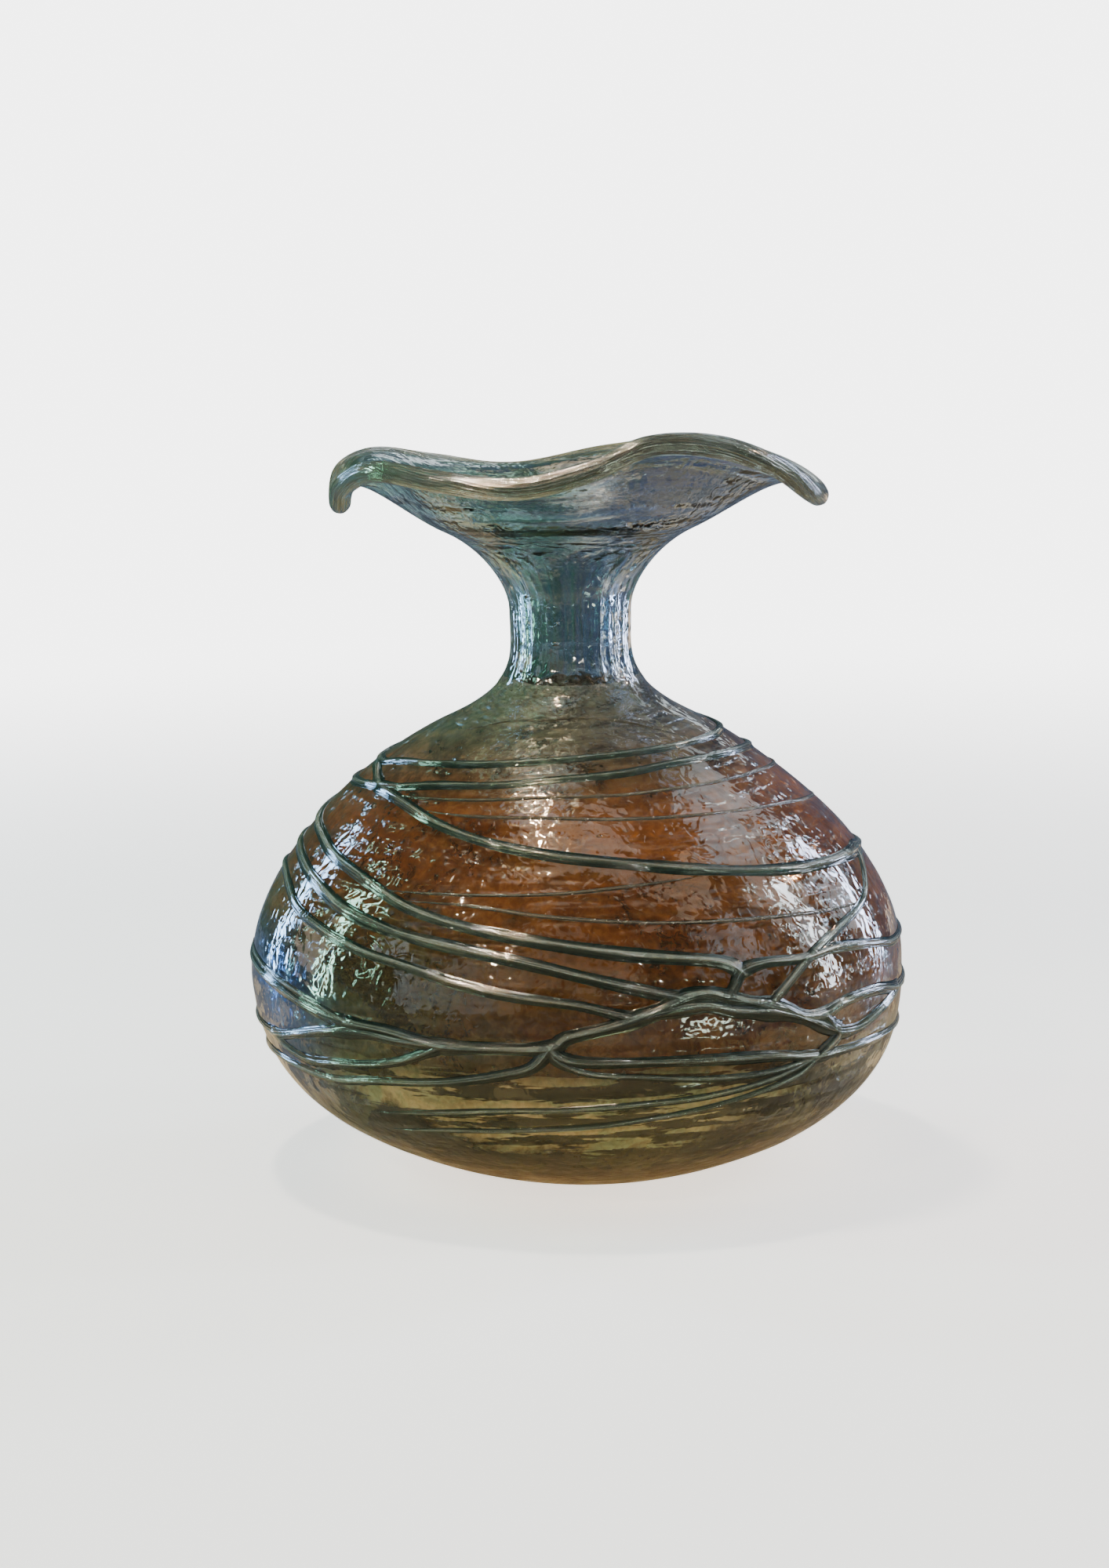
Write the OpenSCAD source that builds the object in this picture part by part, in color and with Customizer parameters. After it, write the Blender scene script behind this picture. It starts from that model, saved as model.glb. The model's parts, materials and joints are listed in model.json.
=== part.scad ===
// Hand blown glass vase: a squat round body with a colour lining, a narrow neck, a wide rim
// folded into waves with a thick lip, and glass trails drawn round the body.
// Lengths are in millimetres. The vase stands on z = 0 with its axis on Z; its front is -Y.
// An azimuth of 0 points right (+X), 90 back, 180 left and 270 to the front.

/* [Body] */
// Widest radius of the round body
belly_r = 121.5; // [100:0.5:146]
// Height of the widest place above the table
belly_h = 73.5; // [61:0.5:89]
// Radius of the flat ground foot
foot_r = 50.5; // [42:0.5:61]
// Climb from the widest place to where the shoulder turns hollow
shoulder_rise = 92; // [76:0.5:111]
// Radius where the shoulder turns hollow
shoulder_r = 46.5; // [38.5:0.5:56]
// Slope of the shoulder at that turn, in degrees
shoulder_slope = 25; // [20:1:30]
// Thickness of the body's side, lining included
wall = 6; // [5:0.1:7.5]
// Thickness of the colour lining inside the body
lining_t = 0.8; // [0.6:0.1:1.2]
// Thickness of the floor of the body, lining included
floor_t = 12; // [10:0.5:15]
// Radius of the polished hollow under the foot
pontil_r = 16; // [13:0.5:20]
// Depth of that hollow
pontil_depth = 2; // [1.5:0.1:3]

/* [Neck] */
// Outer radius at the waist of the neck
waist_r = 22.5; // [20:0.5:27]
// Climb from the shoulder's turn to the waist
neck_rise = 39.5; // [33:0.5:48]
// Radius of the straight bore through the neck
bore_r = 15.5; // [12.5:0.5:17]
// Length of the straight bore
bore_l = 20; // [16:0.5:24]
// How far the straight bore runs above the waist
bore_over = 4; // [3:0.5:5]
// Climb from the shoulder's turn to the joint between body and neck
join_rise = 12.5; // [10:0.5:15]

/* [Rim] */
// Climb from the waist to where the rim's waves begin
flare_rise = 29.5; // [25:0.5:36]
// Radius where the rim's waves begin
flare_r = 46; // [40:0.5:55]
// Slope of the rim there, in degrees
flare_slope = 24; // [18:1:30]
// Climb from there to the middle height of the lip
wave_rise = 17; // [14:0.5:21]
// Thickness of the flared glass
flare_t = 5; // [4:0.1:6]
// How far out the lip reaches, where 1 is the full ruffle
ruffle_reach = 1; // [0.85:0.05:1.2]
// How far the lip waves up and down, where 1 is the full ruffle
ruffle_wave = 1; // [0.5:0.05:1.2]
// Radius of the rounded lip
lip_r = 4.4; // [3.7:0.1:5.3]

/* [Trails] */
// Radius of the heavy trails
heavy_r = 2.2; // [1.8:0.1:2.7]
// Radius of the middle trails
middle_r = 1.8; // [1.4:0.1:2.1]
// Radius of the fine trails
fine_r = 1.3; // [1:0.1:1.6]
// Radius of the hair threads
hair_r = 0.8; // [0.6:0.1:1]
// How deep a trail's centre sits in the surface, as a share of its radius
sink = 0.3; // [0.1:0.05:0.5]

/* [Hidden] */

clear_glass = [0.62, 0.70, 0.70, 0.55];
lining_brown = [0.40, 0.24, 0.12];
lip_green = [0.50, 0.58, 0.48, 0.8];
trail_teal = [0.16, 0.33, 0.33];
thread_pale = [0.62, 0.62, 0.50];

// Places that several pieces share
shoulder_h = belly_h + shoulder_rise;
waist_h = shoulder_h + neck_rise;
flare_h = waist_h + flare_rise;
join_h = shoulder_h + join_rise;
bore_top = waist_h + bore_over;
bore_foot = bore_top - bore_l;
wave_h = flare_h + wave_rise;

// A cubic curve, and the vector of a length at an angle above the outward radius
function bez(a, b, c, d, t) =
    pow(1 - t, 3) * a + 3 * t * pow(1 - t, 2) * b + 3 * t * t * (1 - t) * c + pow(t, 3) * d;
function curve(a, b, c, d, n) = [for (i = [0 : n]) bez(a, b, c, d, i / n)];
function polar(length, angle) = length * [cos(angle), sin(angle)];
function tail(list) = [for (i = [1 : len(list) - 1]) list[i]];
function upto(list, h) = [for (p = list) if (p[1] < h - 0.5) p];
function from(list, h) = [for (p = list) if (p[1] > h + 0.5) p];
function reverse(list) = [for (i = [len(list) - 1 : -1 : 0]) list[i]];
function heights(list) = [for (p = list) [p[1], p[0]]];
function at(list, h) = lookup(h, heights(list));

// The outside of the vase as [radius, height], from the foot to the waist
foot_pt = [foot_r, 0];
belly_pt = [belly_r, belly_h];
shoulder_pt = [shoulder_r, shoulder_h];
waist_pt = [waist_r, waist_h];
outside = concat(
    curve(foot_pt, foot_pt + polar(0.755 * (belly_r - foot_r), 17),
          belly_pt - [0, 0.5 * belly_h], belly_pt, 14),
    tail(curve(belly_pt, belly_pt + [0, 0.47 * shoulder_rise],
               shoulder_pt + polar(0.34 * (belly_r - shoulder_r), -shoulder_slope), shoulder_pt, 16)),
    tail(curve(shoulder_pt, shoulder_pt - polar(0.79 * neck_rise, -shoulder_slope),
               waist_pt - [0, 0.4 * neck_rise], waist_pt, 12))
);

// The outside moved inwards by the glass's thickness, which grows towards the floor
function step_at(list, i) = list[min(i + 1, len(list) - 1)] - list[max(i - 1, 0)];
function inward(list, i) = let (d = step_at(list, i)) [-d[1], d[0]] / norm(d);
function thick(h) = wall + (floor_t - wall) * pow(max(0, 1 - h / (0.6 * belly_h)), 2)
    + (waist_r - bore_r - wall) * max(0, min(1, (h - shoulder_h) / neck_rise));
function inside(less) = [
    for (i = [0 : len(outside) - 1])
        let (p = outside[i] + inward(outside, i) * (thick(outside[i][1]) - less)) p
];
lined_wall = inside(lining_t);
bare_wall = inside(0);

// Both curves of the flare, underside and top side, up to where the waves begin
flare_pt = [flare_r, flare_h];
flare_up = [-sin(flare_slope), cos(flare_slope)];
flare_top = flare_pt + flare_t * flare_up;
flare_under_curve = curve(waist_pt, waist_pt + [0, 0.34 * flare_rise],
                          flare_pt - polar(0.6 * (flare_r - waist_r), flare_slope), flare_pt, 10);
flare_top_curve = curve([bore_r, bore_top], [bore_r, bore_top + 0.38 * flare_rise],
                        flare_top - polar(0.56 * (flare_r - bore_r), flare_slope), flare_top, 10);

// The lip as [azimuth, radius, height above the middle of the waves, slope at the edge]
lip_stations = [
    [0, 91, -5, -50], [25, 86, 3, -10], [50, 81, 9, 8], [78, 80, 5, -10], [105, 82, -1, -25],
    [128, 84, 4, 0], [148, 85, 8, -5], [165, 86, 4, -45], [182, 83.5, -5.5, -80], [198, 84, 2.5, -50],
    [215, 83, 8, 0], [235, 78, 5, -8], [256, 74, 2.5, -20], [276, 71, 8, 0], [293, 72, 16, 15],
    [312, 77, 15, 12], [330, 84, 7, -10], [347, 90, -4, -50]
];
lip_steps = 5;       // rings between two stations
sheet_steps = 7;     // points from the flare to the lip
edge_share = 0.8;    // thickness at the lip as a share of the flared glass
lip_overlap = 1;     // how far the flared glass runs into the lip

// A smooth curve through points in a closed or an open list
function wrap_turn(list, i) =
    let (n = len(list), k = ((i % n) + n) % n, turns = floor(i / n))
    [for (c = [0 : len(list[0]) - 1]) list[k][c] + (c == 0 ? 360 * turns : 0)];
function point_of(list, i, closed) =
    closed ? wrap_turn(list, i) : list[max(0, min(len(list) - 1, i))];
function spline(a, b, c, d, t) =
    0.5 * (2 * b + t * (c - a) + t * t * (2 * a - 5 * b + 4 * c - d) + t * t * t * (3 * b - a - 3 * c + d));
function smooth_at(list, i, t, closed) =
    spline(point_of(list, i - 1, closed), point_of(list, i, closed),
           point_of(list, i + 1, closed), point_of(list, i + 2, closed), t);
lip_rings = [
    for (i = [0 : len(lip_stations) - 1]) for (s = [0 : lip_steps - 1])
        smooth_at(lip_stations, i, s / lip_steps, true)
];

// A point in space from an azimuth and a [radius, height] pair
function spin(azimuth, p) = [p[0] * cos(azimuth), p[0] * sin(azimuth), p[1]];
function lip_pt(ring) = [flare_r + (ring[1] - flare_r) * ruffle_reach, wave_h + ring[2] * ruffle_wave];
function sheet_end(ring) = lip_pt(ring) - polar(lip_r - lip_overlap, ring[3]);
function sheet_under(ring) =
    let (end = sheet_end(ring), reach = norm(end - flare_pt),
         edge = end - 0.5 * edge_share * flare_t * [-sin(ring[3]), cos(ring[3])])
    curve(flare_pt, flare_pt + polar(0.42 * reach, flare_slope), edge - polar(0.3 * reach, ring[3]),
          edge, sheet_steps);
function sheet_thick(i) = flare_t * (1 - (1 - edge_share) * i / sheet_steps);
function sheet_section(ring) =
    let (under = sheet_under(ring),
         top = [for (i = [0 : sheet_steps])
                    i == 0 ? flare_top : under[i] + sheet_thick(i) * inward(under, i)])
    concat(top, reverse(under));

// The skin of a solid from rings of points, each ring turning clockwise seen from the next one
function side_faces(count, n, closed) = [
    for (i = [0 : count - (closed ? 1 : 2)]) for (k = [0 : n - 1])
        let (a = i * n + k, b = i * n + (k + 1) % n,
             c = ((i + 1) % count) * n + (k + 1) % n, d = ((i + 1) % count) * n + k)
        each [[a, d, c], [a, c, b]]
];
function end_faces(count, n) = concat(
    [for (k = [1 : n - 2]) [0, k, k + 1]],
    [for (k = [1 : n - 2]) [(count - 1) * n, (count - 1) * n + k + 1, (count - 1) * n + k]]
);
module skin(rings, closed) {
    n = len(rings[0]);
    polyhedron(
        points = [for (ring = rings) each ring],
        faces = concat(side_faces(len(rings), n, closed), closed ? [] : end_faces(len(rings), n)),
        convexity = 10
    );
}

// Trails: each route is [azimuth, height as a percentage of the body's height]
trail_sides = 6;
trail_pitch = 10;    // length between two rings
function body_radius(h) = at(outside, h);
function on_body(p) = let (h = p[1] * join_h / 100) spin(p[0], [body_radius(h), h]);
function out_of_body(p) =
    let (h = p[1] * join_h / 100, drop = (body_radius(h + 2) - body_radius(h - 2)) / 4)
    spin(p[0], [1, -drop] / norm([1, drop]));
function ring_count(a, b) = max(1, round(norm(on_body(a) - on_body(b)) / trail_pitch));
function trail_path(route, closed) = concat(
    [for (i = [0 : len(route) - (closed ? 1 : 2)])
        let (n = ring_count(route[i], point_of(route, i + 1, closed)))
        for (s = [0 : n - 1]) smooth_at(route, i, s / n, closed)],
    closed ? [] : [route[len(route) - 1]]
);
function end_taper(i, count, closed) = closed ? 1 : 0.6 + 0.4 * min(1, min(i, count - 1 - i) / 3);
function trail_ring(centre, along, out, r) =
    let (side = cross(along, out), across = side / norm(side), lift = cross(across, along))
    [for (k = [0 : trail_sides - 1])
        let (turn = 360 * (k + 0.5) / trail_sides) centre + r * (cos(turn) * lift + sin(turn) * across)];
module trail(route, r, closed = false) {
    path = trail_path(route, closed);
    count = len(path);
    function spot(i) = closed ? on_body(path[(i + count) % count]) : on_body(path[max(0, min(count - 1, i))]);
    rings = [
        for (i = [0 : count - 1])
            let (out = out_of_body(path[i]), way = spot(i + 1) - spot(i - 1), along = way / norm(way),
                 size = r * end_taper(i, count, closed))
            trail_ring(spot(i) - sink * size * out, along, out, size)
    ];
    skin(rings, closed);
}

// Where trails meet
left_top = [184, 84.8];
left_knot = [206, 82];
right_knot = [350, 65.8];
prong_knot = [228, 40];
chin_knot = [247, 37.8];
lower_knot = [265, 38.2];
eye_left = [279, 43.4];
eye_top = [287, 46.6];
brow_foot = [295, 46];
loop_end = [298, 50.6];
riser_foot = [303, 43.6];
fork_knot = [315, 39.3];
fork_foot = [319, 34.8];
fan_knot = [314, 31];
left_low_knot = [203, 32.5];
right_low_knot = [344, 38];
back_high_knot = [105, 58];
back_low_knot = [104, 50];
whole_turn = [360, 0];

collar_route = [left_top, [204, 86.3], [222, 87], [245, 87.8], [265, 88.6], [290, 89.3], [318, 89.8],
                [340, 90], [370, 90.2], [405, 91], [450, 90], [490, 87.5], [520, 85.5]];
collar_link_route = [left_top, [196, 83.7], left_knot];
under_collar_route = [left_knot, [217, 82.6], [230, 83.7], [249, 84.4], [265, 85.4], [286, 86.1], [305, 87],
                      [337, 87], [362, 86], [395, 84.5], [430, 82.5], [470, 81], [510, 80], [545, 80.8]];
brow_route = [left_knot, [222, 80.3], [236, 77.6], [250, 75], [264, 73], [280, 71.2], [296, 69.2],
              [311, 67.5], [328, 66.4], right_knot];
left_high_route = [right_knot - whole_turn, [15, 64.5], [45, 64], [70, 65.5], [95, 69], [120, 72.5],
                   [150, 75], [172, 74.3], [185, 73], [198, 71.9], [208, 70], [219, 67.9], [228, 65.7],
                   [237, 63], [246, 61], [261, 58.4], [275, 56], [289, 53.9], [295, 52.6], loop_end];
left_middle_route = [back_high_knot, [130, 63], [155, 67], [172, 68.4], [184, 68], [194, 67.3],
                     [204, 65.6], [214, 63.3], [224, 60.7], [236, 58.4], [249, 56.5], [262, 54],
                     [273, 51], [281, 48.6], eye_top];
left_low_route = [back_low_knot, [125, 54], [150, 59], [170, 62.8], [188, 63.4], [198, 62], [208, 59],
                  [219, 56.6], [230, 54.2], [241, 52.3], [250, 50], [260, 48], [270, 46.4], eye_left];
prong_outer_route = [back_low_knot, [125, 49.5], [150, 48.5], [172, 46.5], [190, 45], [201, 44.2],
                     [211, 42.8], [220, 41], prong_knot];
prong_inner_route = [[182, 47.5], [200, 45.8], [211, 44.4], [220, 42.6], prong_knot];
waist_route = [prong_knot, [236, 39.8], [242, 38.7], chin_knot, [256, 38], lower_knot, [268, 40.3],
               [275, 42.1], [281, 44.2], eye_top, [291, 47.3], brow_foot, [300, 44.3], [306, 42.2],
               [310, 40], fork_knot, [320, 40.8], [326, 41], [333, 40.4], right_low_knot];
eye_route = [eye_left, [285, 44.6], [291, 44.9], [297, 43.2], [304, 41.8], [310, 39.5], [316, 36.5],
             fork_foot, fan_knot];
loop_route = [brow_foot, [296.5, 48.3], loop_end, [303, 51.6], [311, 51.1], [319, 51.6], [326, 50.9],
              [335, 49.4], [346, 47.7], [370, 48], [400, 52], [430, 55.5], back_high_knot + whole_turn];
riser_route = [riser_foot, [307, 47], [311, 50], [315, 52.2], [322, 54.8], [330, 56.8], [337, 58.8],
               [343, 62], right_knot];
right_prong_route = [fork_knot, [317, 37], fork_foot, [325, 34.4], [333, 35.9], right_low_knot];
back_sweep_route = [right_low_knot, [365, 38.5], [395, 41], [420, 44], [445, 47], back_low_knot + whole_turn];
back_low_route = [right_low_knot, [370, 35.5], [400, 33.5], [435, 34], [465, 36], [500, 34.5],
                  [530, 33], [550, 32.5], left_low_knot + whole_turn];
lower_left_route = [left_low_knot, [209, 33.7], [216, 35.7], [224, 37.6], [232, 38.5], [240, 38], chin_knot];
lower_branch_route = [left_low_knot, [209, 30.6], [216, 29.8], [224, 31], [232, 32.2], [239, 34], chin_knot];
lower_ring_route = [fan_knot, [325, 30.5], [345, 29.5], [370, 28.5], [400, 27], [440, 25], [480, 25],
                    [520, 26], [550, 27], [568, 27.2], [581, 27], [592, 28.7], [606, 30.3], [617, 32.6],
                    [622, 34.4], lower_knot + whole_turn];
lower_right_route = [lower_knot, [267.5, 35.9], [274, 35.1], [283, 34.8], [294, 34], [304, 33], fan_knot];
right_branch_route = [lower_knot, [266, 35.6], [271, 33], [280, 31.8], [291, 30.3], [303, 29.8], fan_knot];
fan_high_route = [fan_knot, [304, 28.2], [292, 26.6], [280, 26], [268, 25.4], [256, 24.8], [243, 23.2],
                  [230, 21.3]];
fan_low_route = [fan_knot, [310, 28], [303, 26.2], [294, 24.5], [284, 23], [272, 21.5], [258, 20.4],
                 [244, 19.2], [231, 17.4]];
shoulder_thread_route = [[218, 92.6], [235, 94.5], [257, 95], [275, 95.3], [298, 94.2], [321, 90.8]];
brow_high_route = [[210, 81], [231, 81.4], [250, 82], [263, 82.5], [284, 82.6], [303, 83], [337, 83.1],
                   [365, 82], [395, 80.5]];
brow_low_route = [[230, 79.4], [244, 79.1], [264, 79.1], [282, 78.6], [312, 78], [331, 77.4], [348, 76.3],
                  [372, 74.5]];
front_high_route = [[231, 65.4], [243, 65.7], [265, 66.3], [280, 67.3], [293, 68]];
front_low_route = [[236, 64], [250, 64], [265, 62.4], [285, 60.7], [306, 59.5], [323, 58.4], [334, 57.8]];

// The blown body: clear glass with a ground foot, open at the top
module bulb() {
    pontil_hollow = [
        for (turn = [0 : 15 : 90]) [pontil_r * sin(turn), pontil_depth * pow(cos(turn), 2)]
    ];
    floor_line = lined_wall[0][1];
    color(clear_glass)
        rotate_extrude($fn = 96)
            polygon(concat(
                pontil_hollow,
                upto(outside, join_h), [[at(outside, join_h), join_h]],
                [[at(lined_wall, join_h), join_h]], reverse(upto(lined_wall, join_h)),
                [[0, floor_line]]
            ));
}

// The thin layer of coloured glass that lines the body
module colour_lining() {
    color(lining_brown)
        rotate_extrude($fn = 96)
            polygon(concat(
                [[0, lined_wall[0][1]]], upto(lined_wall, join_h), [[at(lined_wall, join_h), join_h]],
                [[at(bare_wall, join_h), join_h]], reverse(upto(bare_wall, join_h)),
                [[0, bare_wall[0][1]]]
            ));
}

// The neck and the plain part of its flare, with a straight bore
module neck() {
    bore_lead = curve([at(bare_wall, join_h), join_h], [at(bare_wall, join_h) - 1.5, join_h + 2.5],
                      [bore_r, bore_foot - 3], [bore_r, bore_foot], 5);
    color(clear_glass)
        rotate_extrude($fn = 96)
            polygon(concat(
                [[at(outside, join_h), join_h]], from(outside, join_h), tail(flare_under_curve),
                reverse(flare_top_curve), reverse(bore_lead)
            ));
}

// The waved outer part of the rim
module flared_rim() {
    color(clear_glass)
        skin([for (ring = lip_rings) [for (p = sheet_section(ring)) spin(ring[0], p)]], true);
}

// The thick rounded lip that follows the edge of the rim
module lip_wrap() {
    lip_sides = 10;
    count = len(lip_rings);
    function centre(i) = let (ring = lip_rings[(i + count) % count]) spin(ring[0], lip_pt(ring));
    rings = [
        for (i = [0 : count - 1])
            let (way = centre(i + 1) - centre(i - 1), along = way / norm(way),
                 side = cross(along, [0, 0, 1]), across = side / norm(side), lift = cross(across, along))
            [for (k = [0 : lip_sides - 1])
                let (turn = 360 * k / lip_sides) centre(i) + lip_r * (cos(turn) * lift + sin(turn) * across)]
    ];
    color(lip_green) skin(rings, true);
}

// One trail or thread of each kind
module heavy(route) { color(trail_teal) trail(route, heavy_r); }
module middle(route, closed = false) { color(trail_teal) trail(route, middle_r, closed); }
module fine(route, closed = false) { color(trail_teal) trail(route, fine_r, closed); }
module hair(route) { color(thread_pale) trail(route, hair_r); }

bulb();
colour_lining();
neck();
flared_rim();
lip_wrap();
middle(collar_route, true);  // collar_trail
middle(collar_link_route);  // collar_link
middle(under_collar_route, true);  // under_collar_trail
heavy(brow_route);  // brow_trail
heavy(left_high_route);  // left_sweep_high
heavy(left_middle_route);  // left_sweep_middle
middle(left_low_route);  // left_sweep_low
middle(prong_outer_route);  // left_prong_outer
fine(prong_inner_route);  // left_prong_inner
heavy(waist_route);  // waist_trail
heavy(eye_route);  // eye_trail
middle(loop_route);  // loop_trail
middle(riser_route);  // riser_trail
heavy(right_prong_route);  // right_prong
middle(back_sweep_route);  // back_sweep_trail
middle(back_low_route);  // back_low_trail
middle(lower_left_route);  // lower_left_trail
middle(lower_branch_route);  // lower_left_branch
middle(lower_ring_route);  // lower_ring_trail
middle(lower_right_route);  // lower_right_trail
fine(right_branch_route);  // lower_right_branch
fine(fan_high_route);  // base_fan_high
fine(fan_low_route);  // base_fan_low
hair(shoulder_thread_route);  // shoulder_thread
hair(brow_high_route);  // brow_thread_high
hair(brow_low_route);  // brow_thread_low
hair(front_high_route);  // front_thread_high
hair(front_low_route);  // front_thread_low
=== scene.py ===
"""A hand blown glass vase: one blown vessel with a colour lining, a thick lip wrap and trails of
drawn glass round the body, built over the packed frame. Everything is in metres, with the axis on Z."""
import json
import math

import bpy
import numpy as np
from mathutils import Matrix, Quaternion, Vector, noise

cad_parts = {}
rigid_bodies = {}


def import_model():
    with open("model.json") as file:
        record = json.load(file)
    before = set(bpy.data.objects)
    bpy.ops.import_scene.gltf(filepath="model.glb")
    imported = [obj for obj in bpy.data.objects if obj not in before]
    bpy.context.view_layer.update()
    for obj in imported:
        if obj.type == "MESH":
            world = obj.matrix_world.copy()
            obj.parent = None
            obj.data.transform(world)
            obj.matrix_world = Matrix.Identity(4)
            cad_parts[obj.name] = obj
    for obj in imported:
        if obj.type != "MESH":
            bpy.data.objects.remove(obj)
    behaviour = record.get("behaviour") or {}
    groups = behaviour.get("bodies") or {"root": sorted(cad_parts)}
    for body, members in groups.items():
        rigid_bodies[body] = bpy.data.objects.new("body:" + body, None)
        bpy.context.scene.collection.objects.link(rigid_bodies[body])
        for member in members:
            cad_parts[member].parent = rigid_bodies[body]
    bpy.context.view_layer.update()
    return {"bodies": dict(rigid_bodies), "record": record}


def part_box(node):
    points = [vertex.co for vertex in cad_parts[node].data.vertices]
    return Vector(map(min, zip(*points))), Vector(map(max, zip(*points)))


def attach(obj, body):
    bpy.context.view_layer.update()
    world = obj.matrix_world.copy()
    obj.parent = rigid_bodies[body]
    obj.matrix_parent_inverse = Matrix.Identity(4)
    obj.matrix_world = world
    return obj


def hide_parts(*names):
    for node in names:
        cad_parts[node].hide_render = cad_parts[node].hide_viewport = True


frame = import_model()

bl_info = {
    "name": "Hand blown glass vase",
    "version": (1, 0, 0),
    "blender": (4, 5, 0),
    "location": "View3D > Sidebar > Glass Vase",
    "description": "Blows the vessel, wraps its lip and draws its trails round the body",
    "category": "Add Mesh",
}

BODY = next(iter(frame["bodies"]))
BULB_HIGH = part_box("bulb")[1]
MOUNTS = {mount["name"]: mount for mount in frame["record"]["mounts"]}
MM = 0.001


# ---------------------------------------------------------------- settings

def length(name, description, default, **more):
    """A size in metres for the sidebar."""
    return bpy.props.FloatProperty(
        name=name, description=description, default=default, min=0.0, unit="LENGTH", precision=4, **more)


def colour(name, description, default):
    """A linear colour for the sidebar."""
    return bpy.props.FloatVectorProperty(
        name=name, description=description, default=default, size=3, min=0.0, max=1.0, subtype="COLOR")


def share(name, description, default, top=1.0):
    """A share or a factor for the sidebar."""
    return bpy.props.FloatProperty(
        name=name, description=description, default=default, min=0.0, max=top, subtype="FACTOR")


class VesselSettings(bpy.types.PropertyGroup):
    """Sizes of the blown vessel, from the foot to the edge of the rim."""
    belly_radius: length("Belly radius", "Widest radius of the round body", BULB_HIGH.x)
    belly_height: length("Belly height", "Height of the widest place above the table", 73.5 * MM)
    foot_radius: length("Foot radius", "Radius of the flat ground foot", 50.5 * MM)
    shoulder_height: length("Shoulder height", "Height where the shoulder turns hollow", 165.5 * MM)
    shoulder_radius: length("Shoulder radius", "Radius where the shoulder turns hollow", 46.5 * MM)
    join_height: length("Join height", "Height where the body meets the neck", BULB_HIGH.z)
    waist_height: length("Waist height", "Height of the narrowest place of the neck", 205 * MM)
    waist_radius: length("Waist radius", "Outer radius at the waist", 22.5 * MM)
    bore_radius: length("Bore radius", "Radius of the bore through the neck",
                        MOUNTS["neck_bore"]["dims"]["r_mm"] * MM)
    bore_top: length("Bore top", "Height where the straight bore ends", 209 * MM)
    bore_foot: length("Bore foot", "Height where the straight bore begins", 189 * MM)
    wall: length("Wall", "Thickness of the body's side", 6 * MM)
    floor: length("Floor", "Thickness of the floor of the body", 12 * MM)
    pontil_radius: length("Pontil radius", "Radius of the polished hollow under the foot", 16 * MM)
    pontil_depth: length("Pontil depth", "Depth of that hollow", 2 * MM)
    flare_height: length("Flare height", "Height where the rim's waves begin", 234.5 * MM)
    flare_radius: length("Flare radius", "Radius where the rim's waves begin", 46 * MM)
    flare_wall: length("Flare wall", "Thickness of the flared glass", 5 * MM)
    wave_height: length("Wave height", "Middle height of the lip", 251.5 * MM)
    ripple: length("Ripple", "How far the hot glass wavers from a true surface", 0.45 * MM)


class LipSettings(bpy.types.PropertyGroup):
    """The rounded lip that follows the rim."""
    radius: length("Radius", "Radius of the rounded lip", 4.4 * MM)


class TrailSettings(bpy.types.PropertyGroup):
    """Sizes of the drawn trails and threads."""
    heavy: length("Heavy", "Radius of the heavy trails", 2.2 * MM)
    middle: length("Middle", "Radius of the middle trails", 1.8 * MM)
    fine: length("Fine", "Radius of the fine trails", 1.3 * MM)
    hair: length("Hair", "Radius of the hair threads", 0.7 * MM)
    spread: share("Spread", "Half width of a trail's cord, as a share of its radius", 0.52)
    rise: share("Rise", "Height of a trail above the body, as a share of its radius", 0.48)


class GlassSettings(bpy.types.PropertyGroup):
    """Colours of the glass."""
    clear: colour("Clear", "Tint of the clear outer glass", (0.86, 0.93, 0.91))
    # The blue is a painted reflection, low on the left edge of the outer glass and, darker, of the lining.
    blue: colour("Blue", "Tint of the outer glass at the low left edge", (0.26, 0.46, 0.95))
    smoke: colour("Smoke", "Tint of the neck and the rim", (0.66, 0.68, 0.70))
    depth_tint: colour("Depth", "What the thick glass lets through", (0.42, 0.78, 0.74))
    rust: colour("Rust", "Brown of the lining", (0.31, 0.104, 0.028))
    umber: colour("Umber", "Darkest brown of the lining", (0.17, 0.055, 0.017))
    olive: colour("Olive", "Green brown of the lining's lower half", (0.15, 0.14, 0.060))
    # The gold is partly the bands' own tan and partly painted light, standing for warm light from the
    # table below.
    gold: colour("Gold", "Tan bands low in the lining", (0.90, 0.68, 0.34))
    teal: colour("Teal", "What the thick glass of the trails lets through", (0.26, 0.56, 0.50))
    # On the trails the dark also stands for painted shade below their middle line and at their edges, and
    # the light is kept to a painted highlight above it.
    moss_and_shade: colour("Moss", "Dark strands on the trails and the lip", (0.030, 0.075, 0.062))
    aqua_and_highlight: colour("Aqua", "Light strands on the trails and the lip", (0.78, 0.96, 0.90))


class StageSettings(bpy.types.PropertyGroup):
    """The floor and the lights."""
    floor_colour: colour("Floor", "Colour of the pale floor", (0.80, 0.80, 0.79))
    table_colour: colour("Table", "Colour that the glass mirrors from below", (0.21, 0.165, 0.10))
    glow: share("Glow", "How much the floor is lightened for the eye", 1.4, top=8.0)
    dim: share("Room", "Brightness of the dark part of the room that the glass mirrors", 0.07)
    panes: share("Panes", "Brightness of the light panes of that room", 2.6, top=8.0)
    bright: share("Backdrop", "Brightness of the backdrop", 5.0, top=8.0)


# ---------------------------------------------------------------- curves

def unit(rows):
    """Each row of numbers at length 1."""
    return rows / np.linalg.norm(rows, axis=-1)[..., None]


def round_axis(radius, turn, height):
    """Points at a radius and an angle round the axis, at a height."""
    return np.stack([radius * np.cos(turn), radius * np.sin(turn), height], axis=-1)


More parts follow.
